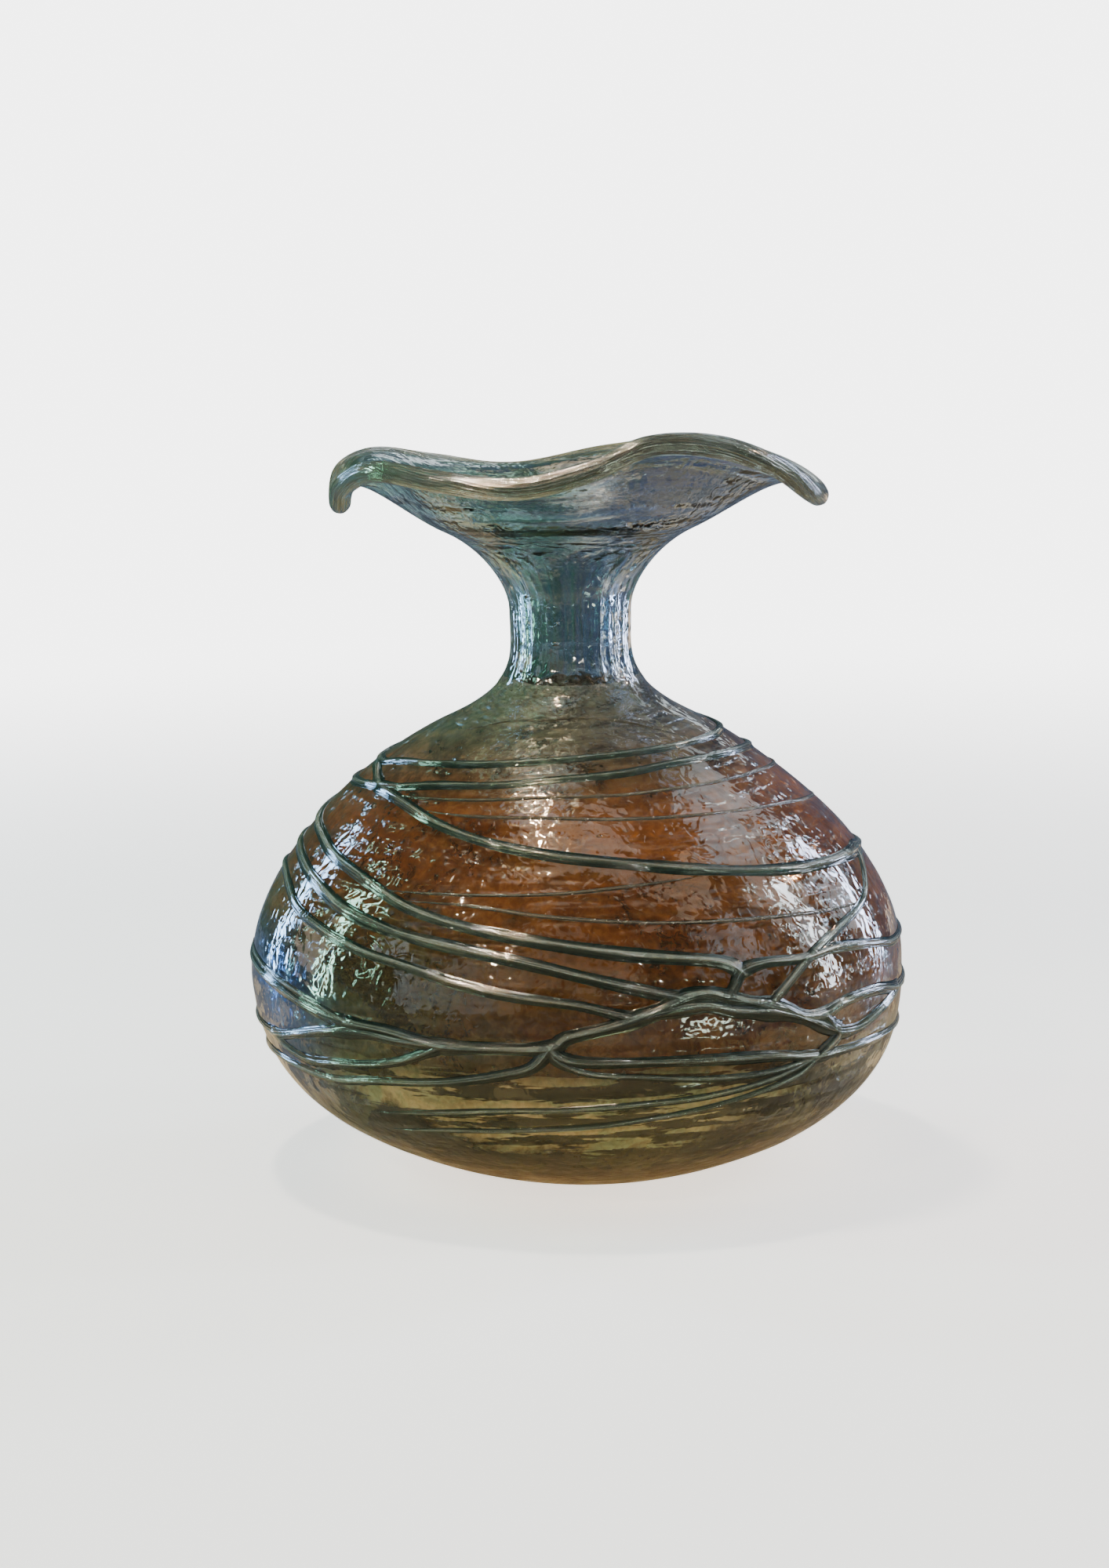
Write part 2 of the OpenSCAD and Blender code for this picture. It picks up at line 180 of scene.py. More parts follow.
def cubic(a, b, c, d, count):
    """Points along a cubic curve, both ends included."""
    t = np.linspace(0.0, 1.0, count + 1)[:, None]
    a, b, c, d = (np.asarray(p, float) for p in (a, b, c, d))
    return (1 - t) ** 3 * a + 3 * t * (1 - t) ** 2 * b + 3 * t * t * (1 - t) * c + t ** 3 * d


def polar(reach, degrees):
    """A [radius, height] step of that length, at an angle above the outward radius."""
    turn = math.radians(degrees)
    return reach * np.array([math.cos(turn), math.sin(turn)])


def along(points):
    """Distance of each point from the first, along the line."""
    return np.concatenate([[0.0], np.cumsum(np.linalg.norm(np.diff(points, axis=0), axis=1))])


def even(points, count):
    """The same line with count + 1 evenly spaced points."""
    where = along(points)
    spots = np.linspace(0.0, where[-1], count + 1)
    return np.stack([np.interp(spots, where, points[:, k]) for k in range(points.shape[1])], axis=1)


def left_of(points):
    """Unit normals on the left of a line in the [radius, height] plane."""
    way = unit(np.gradient(points, axis=0))
    return np.stack([-way[:, 1], way[:, 0]], axis=1)


def spline(points, closed, steps):
    """A smooth curve through rows of numbers; a closed one turns by 360 degrees in its first column."""
    rows = np.asarray(points, float)
    turn = np.zeros(rows.shape[1])
    turn[0] = 360.0
    if closed:
        rows = np.vstack([rows[-1] - turn, rows, rows[0] + turn, rows[1] + turn])
    else:
        rows = np.vstack([rows[0], rows, rows[-1]])
    made = []
    for i in range(1, len(rows) - 2):
        a, b, c, d = rows[i - 1:i + 3]
        t = np.linspace(0.0, 1.0, steps, endpoint=False)[:, None]
        made.append(0.5 * (2 * b + t * (c - a) + t * t * (2 * a - 5 * b + 4 * c - d)
                           + t ** 3 * (3 * b - a - 3 * c + d)))
    if not closed:
        made.append(rows[-1:])
    return np.concatenate(made)


def smooth_step(low, high, x):
    """0 below low, 1 above high, and a soft rise between."""
    t = np.clip((x - low) / (high - low), 0.0, 1.0)
    return t * t * (3 - 2 * t)


# ---------------------------------------------------------------- the vessel's outline

SHOULDER_SLOPE = 25
FLARE_SLOPE = 24


def outside_line(v):
    """The outside as [radius, height] from the foot to the waist, finely divided."""
    foot = np.array([v.foot_radius, 0.0])
    belly = np.array([v.belly_radius, v.belly_height])
    shoulder = np.array([v.shoulder_radius, v.shoulder_height])
    waist = np.array([v.waist_radius, v.waist_height])
    rise = v.shoulder_height - v.belly_height
    neck = v.waist_height - v.shoulder_height
    low = cubic(foot, foot + polar(0.755 * (v.belly_radius - v.foot_radius), 17),
                belly - [0, 0.5 * v.belly_height], belly, 120)
    high = cubic(belly, belly + [0, 0.47 * rise],
                 shoulder + polar(0.34 * (v.belly_radius - v.shoulder_radius), -SHOULDER_SLOPE),
                 shoulder, 140)
    top = cubic(shoulder, shoulder - polar(0.79 * neck, -SHOULDER_SLOPE),
                waist - [0, 0.4 * neck], waist, 80)
    return np.vstack([low, high[1:], top[1:]])


def wall_at(v, height):
    """Thickness of the glass at a height of the body."""
    foot = np.clip(1 - height / (0.6 * v.belly_height), 0.0, None) ** 2
    neck = np.clip((height - v.shoulder_height) / (v.waist_height - v.shoulder_height), 0.0, 1.0)
    return v.wall + (v.floor - v.wall) * foot + (v.waist_radius - v.bore_radius - v.wall) * neck


def inside_line(v):
    """The inside of the body as [radius, height], from the floor to the join with the neck."""
    line = outside_line(v)
    line = line + left_of(line) * wall_at(v, line[:, 1])[:, None]
    return line[line[:, 1] < v.join_height]


# Lip stations: azimuth in degrees, radius and height above the middle of the waves in mm, edge slope
LIP_STATIONS = [
    (0, 91, -5, -50), (25, 86, 3, -10), (50, 81, 9, 8), (78, 80, 5, -10), (105, 82, -1, -25),
    (128, 84, 4, 0), (148, 85, 8, -5), (165, 86, 4, -45), (182, 83.5, -5.5, -80), (198, 84, 2.5, -50),
    (215, 83, 8, 0), (235, 78, 5, -8), (256, 74, 2.5, -20), (276, 71, 8, 0), (293, 72, 16, 15),
    (312, 77, 15, 12), (330, 84, 7, -10), (347, 90, -4, -50),
]
LIP_STEPS = 16


def lip_rows(v):
    """The lip as rows of azimuth, radius, height and slope, all round the rim."""
    rows = spline(LIP_STATIONS, True, LIP_STEPS)
    rows[:, 1] *= MM
    rows[:, 2] = v.wave_height + rows[:, 2] * MM
    return rows


def rim_section(v, row, lip_radius, count):
    """Underside and top of the waved sheet at one azimuth, both from the flare to the lip."""
    flare = np.array([v.flare_radius, v.flare_height])
    end = row[1:3] - polar(lip_radius * 0.5, row[3])
    reach = np.linalg.norm(end - flare)
    edge_wall = 0.8 * v.flare_wall
    edge = end - 0.5 * edge_wall * polar(1.0, row[3] + 90)
    under = cubic(flare, flare + polar(0.42 * reach, FLARE_SLOPE), edge - polar(0.3 * reach, row[3]),
                  edge, count)
    wall = np.linspace(v.flare_wall, edge_wall, count + 1)[:, None]
    top = under + wall * left_of(under)
    top[0] = flare + v.flare_wall * polar(1.0, FLARE_SLOPE + 90)
    return under, top


# How many steps each stretch of the section has
STRETCHES = {"pontil": 6, "foot": 5, "body": 100, "neck": 22, "flare": 12, "sheet": 23, "edge": 4,
             "bore": 18, "inside": 86, "floor": 10}


def vessel_sections(v, lip_radius):
    """One [radius, height] section for each azimuth of the lip, from the pontil to the inner floor."""
    n = STRETCHES
    outline = outside_line(v)
    body = outline[outline[:, 1] <= v.join_height]
    neck = outline[outline[:, 1] >= v.join_height - 1e-9]
    turn = np.linspace(0.0, math.pi / 2, n["pontil"] + 1)
    pontil = np.stack([v.pontil_radius * np.sin(turn), v.pontil_depth * np.cos(turn) ** 2], axis=1)
    foot = np.linspace(pontil[-1], body[0], n["foot"] + 1)
    flare = np.array([v.flare_radius, v.flare_height])
    waist = np.array([v.waist_radius, v.waist_height])
    flare_rise = v.flare_height - v.waist_height
    flare_under = cubic(waist, waist + [0, 0.34 * flare_rise],
                        flare - polar(0.6 * (v.flare_radius - v.waist_radius), FLARE_SLOPE),
                        flare, n["flare"])
    flare_top_end = flare + v.flare_wall * polar(1.0, FLARE_SLOPE + 90)
    bore_end = np.array([v.bore_radius, v.bore_top])
    flare_top = cubic(bore_end, bore_end + [0, 0.38 * flare_rise],
                      flare_top_end - polar(0.56 * (v.flare_radius - v.bore_radius), FLARE_SLOPE),
                      flare_top_end, n["flare"])
    inner = inside_line(v)
    bore_start = np.array([v.bore_radius, v.bore_foot])
    lead = cubic(inner[-1], inner[-1] + [-1.5 * MM, 2.5 * MM], bore_start - [0, 3 * MM], bore_start, 16)
    bore = even(np.vstack([lead, bore_end]), n["bore"])
    before = np.vstack([pontil, foot[1:], even(body, n["body"])[1:], even(neck, n["neck"])[1:],
                        flare_under[1:]])
    floor_centre = np.array([0.0, inner[0][1]])
    after = np.vstack([flare_top[::-1][1:], bore[::-1][1:], even(inner, n["inside"])[::-1][1:],
                       np.linspace(inner[0], floor_centre, n["floor"] + 1)[1:]])
    sections = []
    for row in lip_rows(v):
        under, top = rim_section(v, row, lip_radius, n["sheet"])
        edge = np.linspace(under[-1], top[-1], n["edge"] + 1)
        sections.append(np.vstack([before, under[1:], edge[1:-1], top[::-1], after]))
    return np.array(sections)


# ---------------------------------------------------------------- hand work on the shape

# How far the foot sits to one side and the shoulder to the other, and the heights where each does
FOOT_LEAN = 4.5 * MM
SHOULDER_LEAN = 1.5 * MM
FOOT_LEAN_TOP = 73.5 * MM
SHOULDER_LEAN_IN = (118 * MM, 146 * MM)
SHOULDER_LEAN_OUT = (150 * MM, 178 * MM)


def settle(points):
    """Leans the true shape as the real one leans."""
    moved = np.array(points, float)
    z = moved[..., 2]
    low = np.clip(1 - z / FOOT_LEAN_TOP, 0.0, 1.0) ** 1.3
    high = smooth_step(*SHOULDER_LEAN_IN, z) * (1 - smooth_step(*SHOULDER_LEAN_OUT, z))
    moved[..., 0] += FOOT_LEAN * low - SHOULDER_LEAN * high
    return moved


def wave(spots, seed):
    """Soft random values, about -1 to 1, at rows of three numbers."""
    shift = Vector((seed * 7.31, seed * 3.77, seed * 5.13))
    return np.array([noise.noise(Vector(spot) + shift) for spot in spots]) * 1.6


# How fine the grain is: round the body, both ways on the neck, along the body, and more along the rim
ROUND_GRAIN = 1.3
NECK_GRAIN = 12.0
RING_GRAIN = 110.0
RIM_GRAIN = 260.0
# Heights where the neck's grain comes in and goes out, the radii where it goes out, and the rim's heights
NECK_GRAIN_IN = (160 * MM, 186 * MM)
NECK_GRAIN_OUT = (226 * MM, 240 * MM)
NECK_GRAIN_REACH = (40 * MM, 60 * MM)
RIM_GRAIN_IN = (228 * MM, 240 * MM)


def grain_rows(sections, azimuths):
    """How the glass was drawn at each point of the vessel: rings round the body, lines up the neck."""
    turn = np.radians(azimuths)[:, None]
    height = sections[..., 1]
    radius = sections[..., 0]
    neck = smooth_step(*NECK_GRAIN_IN, height) * (1 - smooth_step(*NECK_GRAIN_OUT, height))
    neck = neck * (1 - smooth_step(*NECK_GRAIN_REACH, radius))
    rim = smooth_step(*RIM_GRAIN_IN, height)
    around = ROUND_GRAIN + NECK_GRAIN * neck
    step = np.linalg.norm(np.diff(sections, axis=1), axis=2)
    step = np.concatenate([np.zeros((len(sections), 1)), step], axis=1)
    density = RING_GRAIN - (RING_GRAIN - NECK_GRAIN) * neck + RIM_GRAIN * rim
    up = np.cumsum((step * density).mean(axis=0)) + 0 * height
    return round_axis(around, turn, up)


# ---------------------------------------------------------------- meshes

def facing_out(points, faces):
    """The faces of a closed skin, turned so that their normals point outwards."""
    corners = np.array([(f[0], f[k], f[k + 1]) for f in faces for k in range(1, len(f) - 1)])
    a, b, c = (np.asarray(points)[corners[:, k]] for k in range(3))
    volume = np.einsum("ij,ij->i", a, np.cross(b, c)).sum()
    return list(faces) if volume > 0 else [tuple(reversed(f)) for f in faces]


def add_vector(mesh, name, values):
    """Stores three numbers at each point of a mesh, for the materials to read."""
    layer = mesh.attributes.new(name, "FLOAT_VECTOR", "POINT")
    layer.data.foreach_set("vector", np.asarray(values, np.float32).ravel())


def add_object(name, data):
    """A new object in the scene."""
    made = bpy.data.objects.new(name, data)
    bpy.context.scene.collection.objects.link(made)
    return made


def make_mesh(name, points, faces, grain, materials, slots=None):
    """A smooth piece from points and faces, riding on the vase."""
    mesh = bpy.data.meshes.new(name)
    mesh.from_pydata([tuple(p) for p in points], [], [tuple(f) for f in faces])
    mesh.polygons.foreach_set("use_smooth", [True] * len(mesh.polygons))
    for material in materials:
        mesh.materials.append(material)
    if slots is not None:
        mesh.polygons.foreach_set("material_index", slots)
    add_vector(mesh, "grain", grain)
    mesh.update()
    piece = add_object(name, mesh)
    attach(piece, BODY)
    return piece


def grid_faces(rings, sides, ring_closed, side_closed, start=0):
    """Four-sided faces between rings of points."""
    made = []
    for i in range(rings if ring_closed else rings - 1):
        j = (i + 1) % rings
        for k in range(sides if side_closed else sides - 1):
            m = (k + 1) % sides
            made.append((start + i * sides + k, start + j * sides + k, start + j * sides + m,
                         start + i * sides + m))
    return made


# ---------------------------------------------------------------- the blown vessel

BUBBLES = 150
# Bubbles lie between these heights, and none where the flare bends too far from the neck's line
BUBBLE_HEIGHTS = (26 * MM, 226 * MM)
BUBBLE_TOP = 214 * MM


def blow_seeds(v, count, rng):
    """Small air bubbles in the wall, as points and faces of hollow rings that face the air."""
    outline = outside_line(v)
    points, faces = [], []
    belts, spokes = 5, 8
    for _ in range(count):
        height = rng.uniform(*BUBBLE_HEIGHTS)
        if height < v.waist_height:
            spot = outline[np.argmin(abs(outline[:, 1] - height))]
        else:
            spot = np.array([v.waist_radius + 1.2 * MM, height])
            if height > BUBBLE_TOP:
                continue
        depth = wall_at(v, height) * rng.uniform(0.35, 0.62)
        size = rng.uniform(0.25, 0.7) * MM if rng.random() < 0.85 else rng.uniform(0.8, 1.2) * MM
        turn = rng.uniform(0, 2 * math.pi)
        centre = np.array([(spot[0] - depth) * math.cos(turn), (spot[0] - depth) * math.sin(turn),
                           spot[1]])
        side = np.array([-math.sin(turn), math.cos(turn), 0.0])
        out = np.array([math.cos(turn), math.sin(turn), 0.0])
        up = np.array([0.0, 0.0, 1.0])
        start = len(points)
        points.append(centre + up * size)
        for b in range(1, belts):
            fall = math.pi * b / belts
            for s in range(spokes):
                spin = 2 * math.pi * s / spokes
                points.append(centre + size * (math.cos(fall) * up + math.sin(fall)
                              * (1.7 * math.cos(spin) * side + math.sin(spin) * out)))
        points.append(centre - up * size)
        last = len(points) - 1
        for s in range(spokes):
            n = (s + 1) % spokes
            faces.append((start, start + 1 + n, start + 1 + s))
            low = last - spokes
            faces.append((last, low + s, low + n))
            for b in range(belts - 2):
                first = start + 1 + b * spokes
                faces.append((first + s, first + n, first + spokes + n, first + spokes + s))
    return points, faces


# Uneven places per metre across and upwards: broad swellings, and the rings that rolling leaves
BROAD_SWELLS = [26, 26, 40]
ROLLED_RINGS = [42, 42, 150]


def vessel_mesh(v, lip_radius, materials):
    """The whole vessel as one closed wall: clear outside, stained inside, ground under the foot."""
    rows = lip_rows(v)
    sections = vessel_sections(v, lip_radius)
    azimuths = rows[:, 0]
    rings, sides = sections.shape[:2]
    turn = np.radians(azimuths)[:, None]
    grain = grain_rows(sections, azimuths)
    radius, height = sections[..., 0], sections[..., 1]
    points = round_axis(radius, turn, height)

    way = np.gradient(sections, axis=1)
    way /= np.maximum(np.linalg.norm(way, axis=2), 1e-9)[..., None]
    out = round_axis(way[..., 1], turn, -way[..., 0])
    broad = wave((points * BROAD_SWELLS).reshape(-1, 3), 1).reshape(rings, sides)
    rolled = wave((points * ROLLED_RINGS).reshape(-1, 3), 2).reshape(rings, sides)
    counts = np.cumsum([0] + [STRETCHES[k] for k in ("pontil", "foot", "body", "neck", "flare", "sheet",
                                                     "edge", "sheet", "flare", "bore", "inside", "floor")])
    foot_start, foot_end, inner_start, lining_start = counts[[1, 2, 8, 10]]
    inner = np.arange(sides) >= inner_start
    soft = smooth_step(2 * MM, 12 * MM, height) * smooth_step(0.0, 20 * MM, radius)
    flat = np.clip((inner * 1.0)[None, :] + soft, 0.0, 1.0) * smooth_step(0.0, 12 * MM, radius)
    narrow = 1 - 0.6 * smooth_step(168 * MM, 190 * MM, height)
    size = v.ripple * flat * narrow
    push = size * (0.45 * broad + 0.3 * rolled) * np.where(inner, 1.5, 0.6)[None, :]
    push -= np.where(inner, 0.0, 0.25 * MM)[None, :] * soft * (height < v.join_height)
    points = settle(points + out * push[..., None])

    first = points[:, 0].mean(axis=0)
    last = points[:, -1].mean(axis=0)
    ring_points = points[:, 1:-1].reshape(-1, 3)
    inner_sides = sides - 2
    faces = grid_faces(rings, inner_sides, True, False)
    ring_slots = np.array([2 if foot_start - 1 <= k < foot_end - 1 else
                           1 if k >= lining_start - 1 else 0 for k in range(inner_sides - 1)])
    slots = list(np.tile(ring_slots, rings))
    pole, end = len(ring_points), len(ring_points) + 1
    for i in range(rings):
        j = (i + 1) % rings
        faces.append((pole, j * inner_sides, i * inner_sides))
        faces.append((end, i * inner_sides + inner_sides - 1, j * inner_sides + inner_sides - 1))
        slots += [0, 1]
    all_points = [*ring_points, first, last]
    all_grain = [*grain[:, 1:-1].reshape(-1, 3), grain[0, 0], grain[0, -1]]

    faces = facing_out(all_points, faces)
    bubbles, skins = blow_seeds(v, BUBBLES, np.random.default_rng(11))
    start = len(all_points)
    faces += [tuple(start + k for k in reversed(f)) for f in facing_out(bubbles, skins)]
    all_points += list(settle(bubbles))
    all_grain += [all_grain[0]] * len(bubbles)
    slots += [0] * len(skins)
    return make_mesh("blown_vessel", all_points, faces, all_grain, materials, slots)


# ---------------------------------------------------------------- the lip

# The lip is thicker round this azimuth, by this share of its radius
LIP_SWELL = 0.38
LIP_SWELL_AZIMUTH = 62
LIP_SWELL_REACH = 40
LIP_SIDES = 28
# The lip is a little flatter than round
LIP_FLATNESS = 0.94


def lip_mesh(v, radius, material):
    """The lip wrap: a thick round cord that follows the rim and turns a little as it goes."""
    rows = lip_rows(v)
    turn = np.radians(rows[:, 0])
    centre = round_axis(rows[:, 1], turn, rows[:, 2])
    way = unit(np.roll(centre, -1, axis=0) - np.roll(centre, 1, axis=0))
    slope = np.radians(rows[:, 3])
    reach = round_axis(np.cos(slope), turn, np.sin(slope))
    reach = unit(reach - way * np.einsum("ij,ij->i", reach, way)[:, None])
    lift = np.cross(reach, way)
    lift *= np.sign(lift[:, 2])[:, None]
    spin = np.linspace(0, 2 * math.pi, LIP_SIDES, endpoint=False)
    waver = wave(round_axis(2.2, turn, 0 * turn), 5)
    swell = LIP_SWELL * np.exp(-((rows[:, 0] - LIP_SWELL_AZIMUTH) / LIP_SWELL_REACH) ** 2)
    centre -= (swell * radius)[:, None] * (0.7 * reach + LIP_FLATNESS * lift)
    size = radius * (0.97 + swell + 0.05 * waver)[:, None]
    flutes = 1 + 0.012 * np.cos(7 * spin[None, :] + 5 * turn[:, None])
    across = (size * flutes * np.cos(spin))[..., None] * reach[:, None, :]
    upward = (size * flutes * LIP_FLATNESS * np.sin(spin))[..., None] * lift[:, None, :]
    points = settle(centre[:, None, :] + across + upward).reshape(-1, 3)
    twist = spin[None, :] + turn[:, None]
    grain = round_axis(7, twist, 2.4 * np.sin(turn)[:, None] + 0 * twist).reshape(-1, 3)
    faces = facing_out(points, grid_faces(len(rows), LIP_SIDES, True, True))
    return make_mesh("lip_wrap_rolled", points, faces, grain, [material])


# ---------------------------------------------------------------- the trails

# Places where trails meet: azimuth in degrees, height as a percentage of the height of the body
KNOTS = {
    "left_top": (184, 84.8), "left_knot": (206, 82), "right_knot": (350, 65.8),
    "prong_knot": (228, 40), "chin_knot": (247, 37.8), "lower_knot": (265, 38.2),
    "eye_left": (279, 43.4), "eye_top": (287, 46.6), "brow_foot": (295, 46),
    "loop_end": (298, 50.6), "riser_foot": (303, 43.6), "fork_knot": (315, 39.3),
    "fork_foot": (319, 34.8), "fan_knot": (314, 31), "left_low_knot": (203, 32.5),
    "right_low_knot": (344, 38), "back_high_knot": (105, 58), "back_low_knot": (104, 50),
}


def knot(name, turns=0):
    """A knot, with its azimuth moved by whole turns."""
    azimuth, height = KNOTS[name]
    return (azimuth + 360 * turns, height)


# Each trail's kind, whether it closes on itself, and the route it was drawn along
TRAILS = {
    "collar_trail": ("middle", True, [
        knot("left_top"), (204, 86.3), (222, 87), (245, 87.8), (265, 88.6), (290, 89.3), (318, 89.8),
        (340, 90), (370, 90.2), (405, 91), (450, 90), (490, 87.5), (520, 85.5)]),
    "collar_link": ("middle", False, [knot("left_top"), (196, 83.7), knot("left_knot")]),
    "under_collar_trail": ("middle", True, [
        knot("left_knot"), (217, 82.6), (230, 83.7), (249, 84.4), (265, 85.4), (286, 86.1), (305, 87),
        (337, 87), (362, 86), (395, 84.5), (430, 82.5), (470, 81), (510, 80), (545, 80.8)]),
    "brow_trail": ("heavy", False, [
        knot("left_knot"), (222, 80.3), (236, 77.6), (250, 75), (264, 73), (280, 71.2), (296, 69.2),
        (311, 67.5), (328, 66.4), knot("right_knot")]),
    "left_sweep_high": ("heavy", False, [
        knot("right_knot", -1), (15, 64.5), (45, 64), (70, 65.5), (95, 69), (120, 72.5), (150, 75),
        (172, 74.3), (185, 73), (198, 71.9), (208, 70), (219, 67.9), (228, 65.7), (237, 63), (246, 61),
        (261, 58.4), (275, 56), (289, 53.9), (295, 52.6), knot("loop_end")]),
    "left_sweep_middle": ("heavy", False, [
        knot("back_high_knot"), (130, 63), (155, 67), (172, 68.4), (184, 68), (194, 67.3), (204, 65.6),
        (214, 63.3), (224, 60.7), (236, 58.4), (249, 56.5), (262, 54), (273, 51), (281, 48.6),
        knot("eye_top")]),
    "left_sweep_low": ("middle", False, [
        knot("back_low_knot"), (125, 54), (150, 59), (170, 62.8), (188, 63.4), (198, 62), (208, 59),
        (219, 56.6), (230, 54.2), (241, 52.3), (250, 50), (260, 48), (270, 46.4), knot("eye_left")]),
    "left_prong_outer": ("middle", False, [
        knot("back_low_knot"), (125, 49.5), (150, 48.5), (172, 46.5), (190, 45), (201, 44.2),
        (211, 42.8), (220, 41), knot("prong_knot")]),
    "left_prong_inner": ("fine", False, [
        (182, 47.5), (200, 45.8), (211, 44.4), (220, 42.6), knot("prong_knot")]),
    "waist_trail": ("heavy", False, [
        knot("prong_knot"), (236, 39.8), (242, 38.7), knot("chin_knot"), (256, 38), knot("lower_knot"),
        (268, 40.3), (275, 42.1), (281, 44.2), knot("eye_top"), (291, 47.3), knot("brow_foot"),
        (300, 44.3), (306, 42.2), (310, 40), knot("fork_knot"), (320, 40.8), (326, 41), (333, 40.4),
        knot("right_low_knot")]),
    "eye_trail": ("heavy", False, [
        knot("eye_left"), (285, 44.6), (291, 44.9), (297, 43.2), (304, 41.8), (310, 39.5), (316, 36.5),
        knot("fork_foot"), knot("fan_knot")]),
    "loop_trail": ("middle", False, [
        knot("brow_foot"), (296.5, 48.3), knot("loop_end"), (303, 51.6), (311, 51.1), (319, 51.6),
        (326, 50.9), (335, 49.4), (346, 47.7), (370, 48), (400, 52), (430, 55.5),
        knot("back_high_knot", 1)]),
    "riser_trail": ("middle", False, [
        knot("riser_foot"), (307, 47), (311, 50), (315, 52.2), (322, 54.8), (330, 56.8), (337, 58.8),
        (343, 62), knot("right_knot")]),
    "right_prong": ("heavy", False, [
        knot("fork_knot"), (317, 37), knot("fork_foot"), (325, 34.4), (333, 35.9),
        knot("right_low_knot")]),
    "back_sweep_trail": ("middle", False, [
        knot("right_low_knot"), (365, 38.5), (395, 41), (420, 44), (445, 47),
        knot("back_low_knot", 1)]),
    "back_low_trail": ("middle", False, [
        knot("right_low_knot"), (370, 35.5), (400, 33.5), (435, 34), (465, 36), (500, 34.5), (530, 33),
        (550, 32.5), knot("left_low_knot", 1)]),
    "lower_left_trail": ("middle", False, [
        knot("left_low_knot"), (209, 33.7), (216, 35.7), (224, 37.6), (232, 38.5), (240, 38),
        knot("chin_knot")]),
    "lower_left_branch": ("middle", False, [
        knot("left_low_knot"), (209, 30.6), (216, 29.8), (224, 31), (232, 32.2), (239, 34),
        knot("chin_knot")]),
    "lower_ring_trail": ("middle", False, [
        knot("fan_knot"), (325, 30.5), (345, 29.5), (370, 28.5), (400, 27), (440, 25), (480, 25),
        (520, 26), (550, 27), (568, 27.2), (581, 27), (592, 28.7), (606, 30.3), (617, 32.6),
        (622, 34.4), knot("lower_knot", 1)]),
    "lower_right_trail": ("middle", False, [
        knot("lower_knot"), (267.5, 35.9), (274, 35.1), (283, 34.8), (294, 34), (304, 33),
        knot("fan_knot")]),
    "lower_right_branch": ("fine", False, [
        knot("lower_knot"), (266, 35.6), (271, 33), (280, 31.8), (291, 30.3), (303, 29.8),
        knot("fan_knot")]),
    "base_fan_high": ("fine", False, [
        knot("fan_knot"), (304, 28.2), (292, 26.6), (280, 26), (268, 25.4), (256, 24.8), (243, 23.2),
        (230, 21.3)]),
    "base_fan_low": ("fine", False, [
        knot("fan_knot"), (310, 28), (303, 26.2), (294, 24.5), (284, 23), (272, 21.5), (258, 20.4),
        (244, 19.2), (231, 17.4)]),
    "shoulder_thread": ("hair", False, [
        (218, 92.6), (235, 94.5), (257, 95), (275, 95.3), (298, 94.2), (321, 90.8)]),
    "brow_thread_high": ("hair", False, [
        (210, 81), (231, 81.4), (250, 82), (263, 82.5), (284, 82.6), (303, 83), (337, 83.1), (365, 82),
        (395, 80.5)]),
    "brow_thread_low": ("hair", False, [
        (230, 79.4), (244, 79.1), (264, 79.1), (282, 78.6), (312, 78), (331, 77.4), (348, 76.3),
        (372, 74.5)]),
    "front_thread_high": ("hair", False, [
        (231, 65.4), (243, 65.7), (265, 66.3), (280, 67.3), (293, 68)]),
    "front_thread_low": ("hair", False, [
        (236, 64), (250, 64), (265, 62.4), (285, 60.7), (306, 59.5), (323, 58.4), (334, 57.8)]),
}
# Steps between two places of a route, and the distance between two sections of a trail
TRAIL_STEPS = 24
TRAIL_PITCH = 1.8 * MM
# How far an open trail runs past its last place, as a share of its radius
TIP_REACH = 1.3
# How far the web between two trails reaches from their knot
WEB_REACH = 6.5 * MM
# A trail's section: places across it as shares of its half width, with the skirts at both ends, and the
# places and depths of its underside
SKIRT = np.array([-2.1, -1.6, -1.25, -0.95, -0.65, -0.33, 0.0, 0.33, 0.65, 0.95, 1.25, 1.6, 2.1])
UNDERSIDE = np.array([1.5, 0.5, -0.5, -1.5])
UNDERSIDE_DEPTHS = [-0.42, -0.5, -0.5, -0.42]
# How deep every trail has sunk into the soft body
SINK = 0.12 * MM


def on_body(outline, join_height, path):
    """Points on the body and normals out of it, for rows of azimuth and height percentage."""
    turn = np.radians(path[:, 0])
    height = path[:, 1] * join_height / 100
    radius = np.interp(height, outline[:, 1], outline[:, 0])
    step = 1.0 * MM
    drop = (np.interp(height + step, outline[:, 1], outline[:, 0])
            - np.interp(height - step, outline[:, 1], outline[:, 0])) / (2 * step)
    size = np.sqrt(1 + drop ** 2)
    return round_axis(radius, turn, height), round_axis(1 / size, turn, -drop / size)


def is_knot(spot):
    """Whether a route's end is a place where trails meet."""
    return any(abs((spot[0] - k[0]) % 360) < 0.01 and abs(spot[1] - k[1]) < 0.01 for k in KNOTS.values())


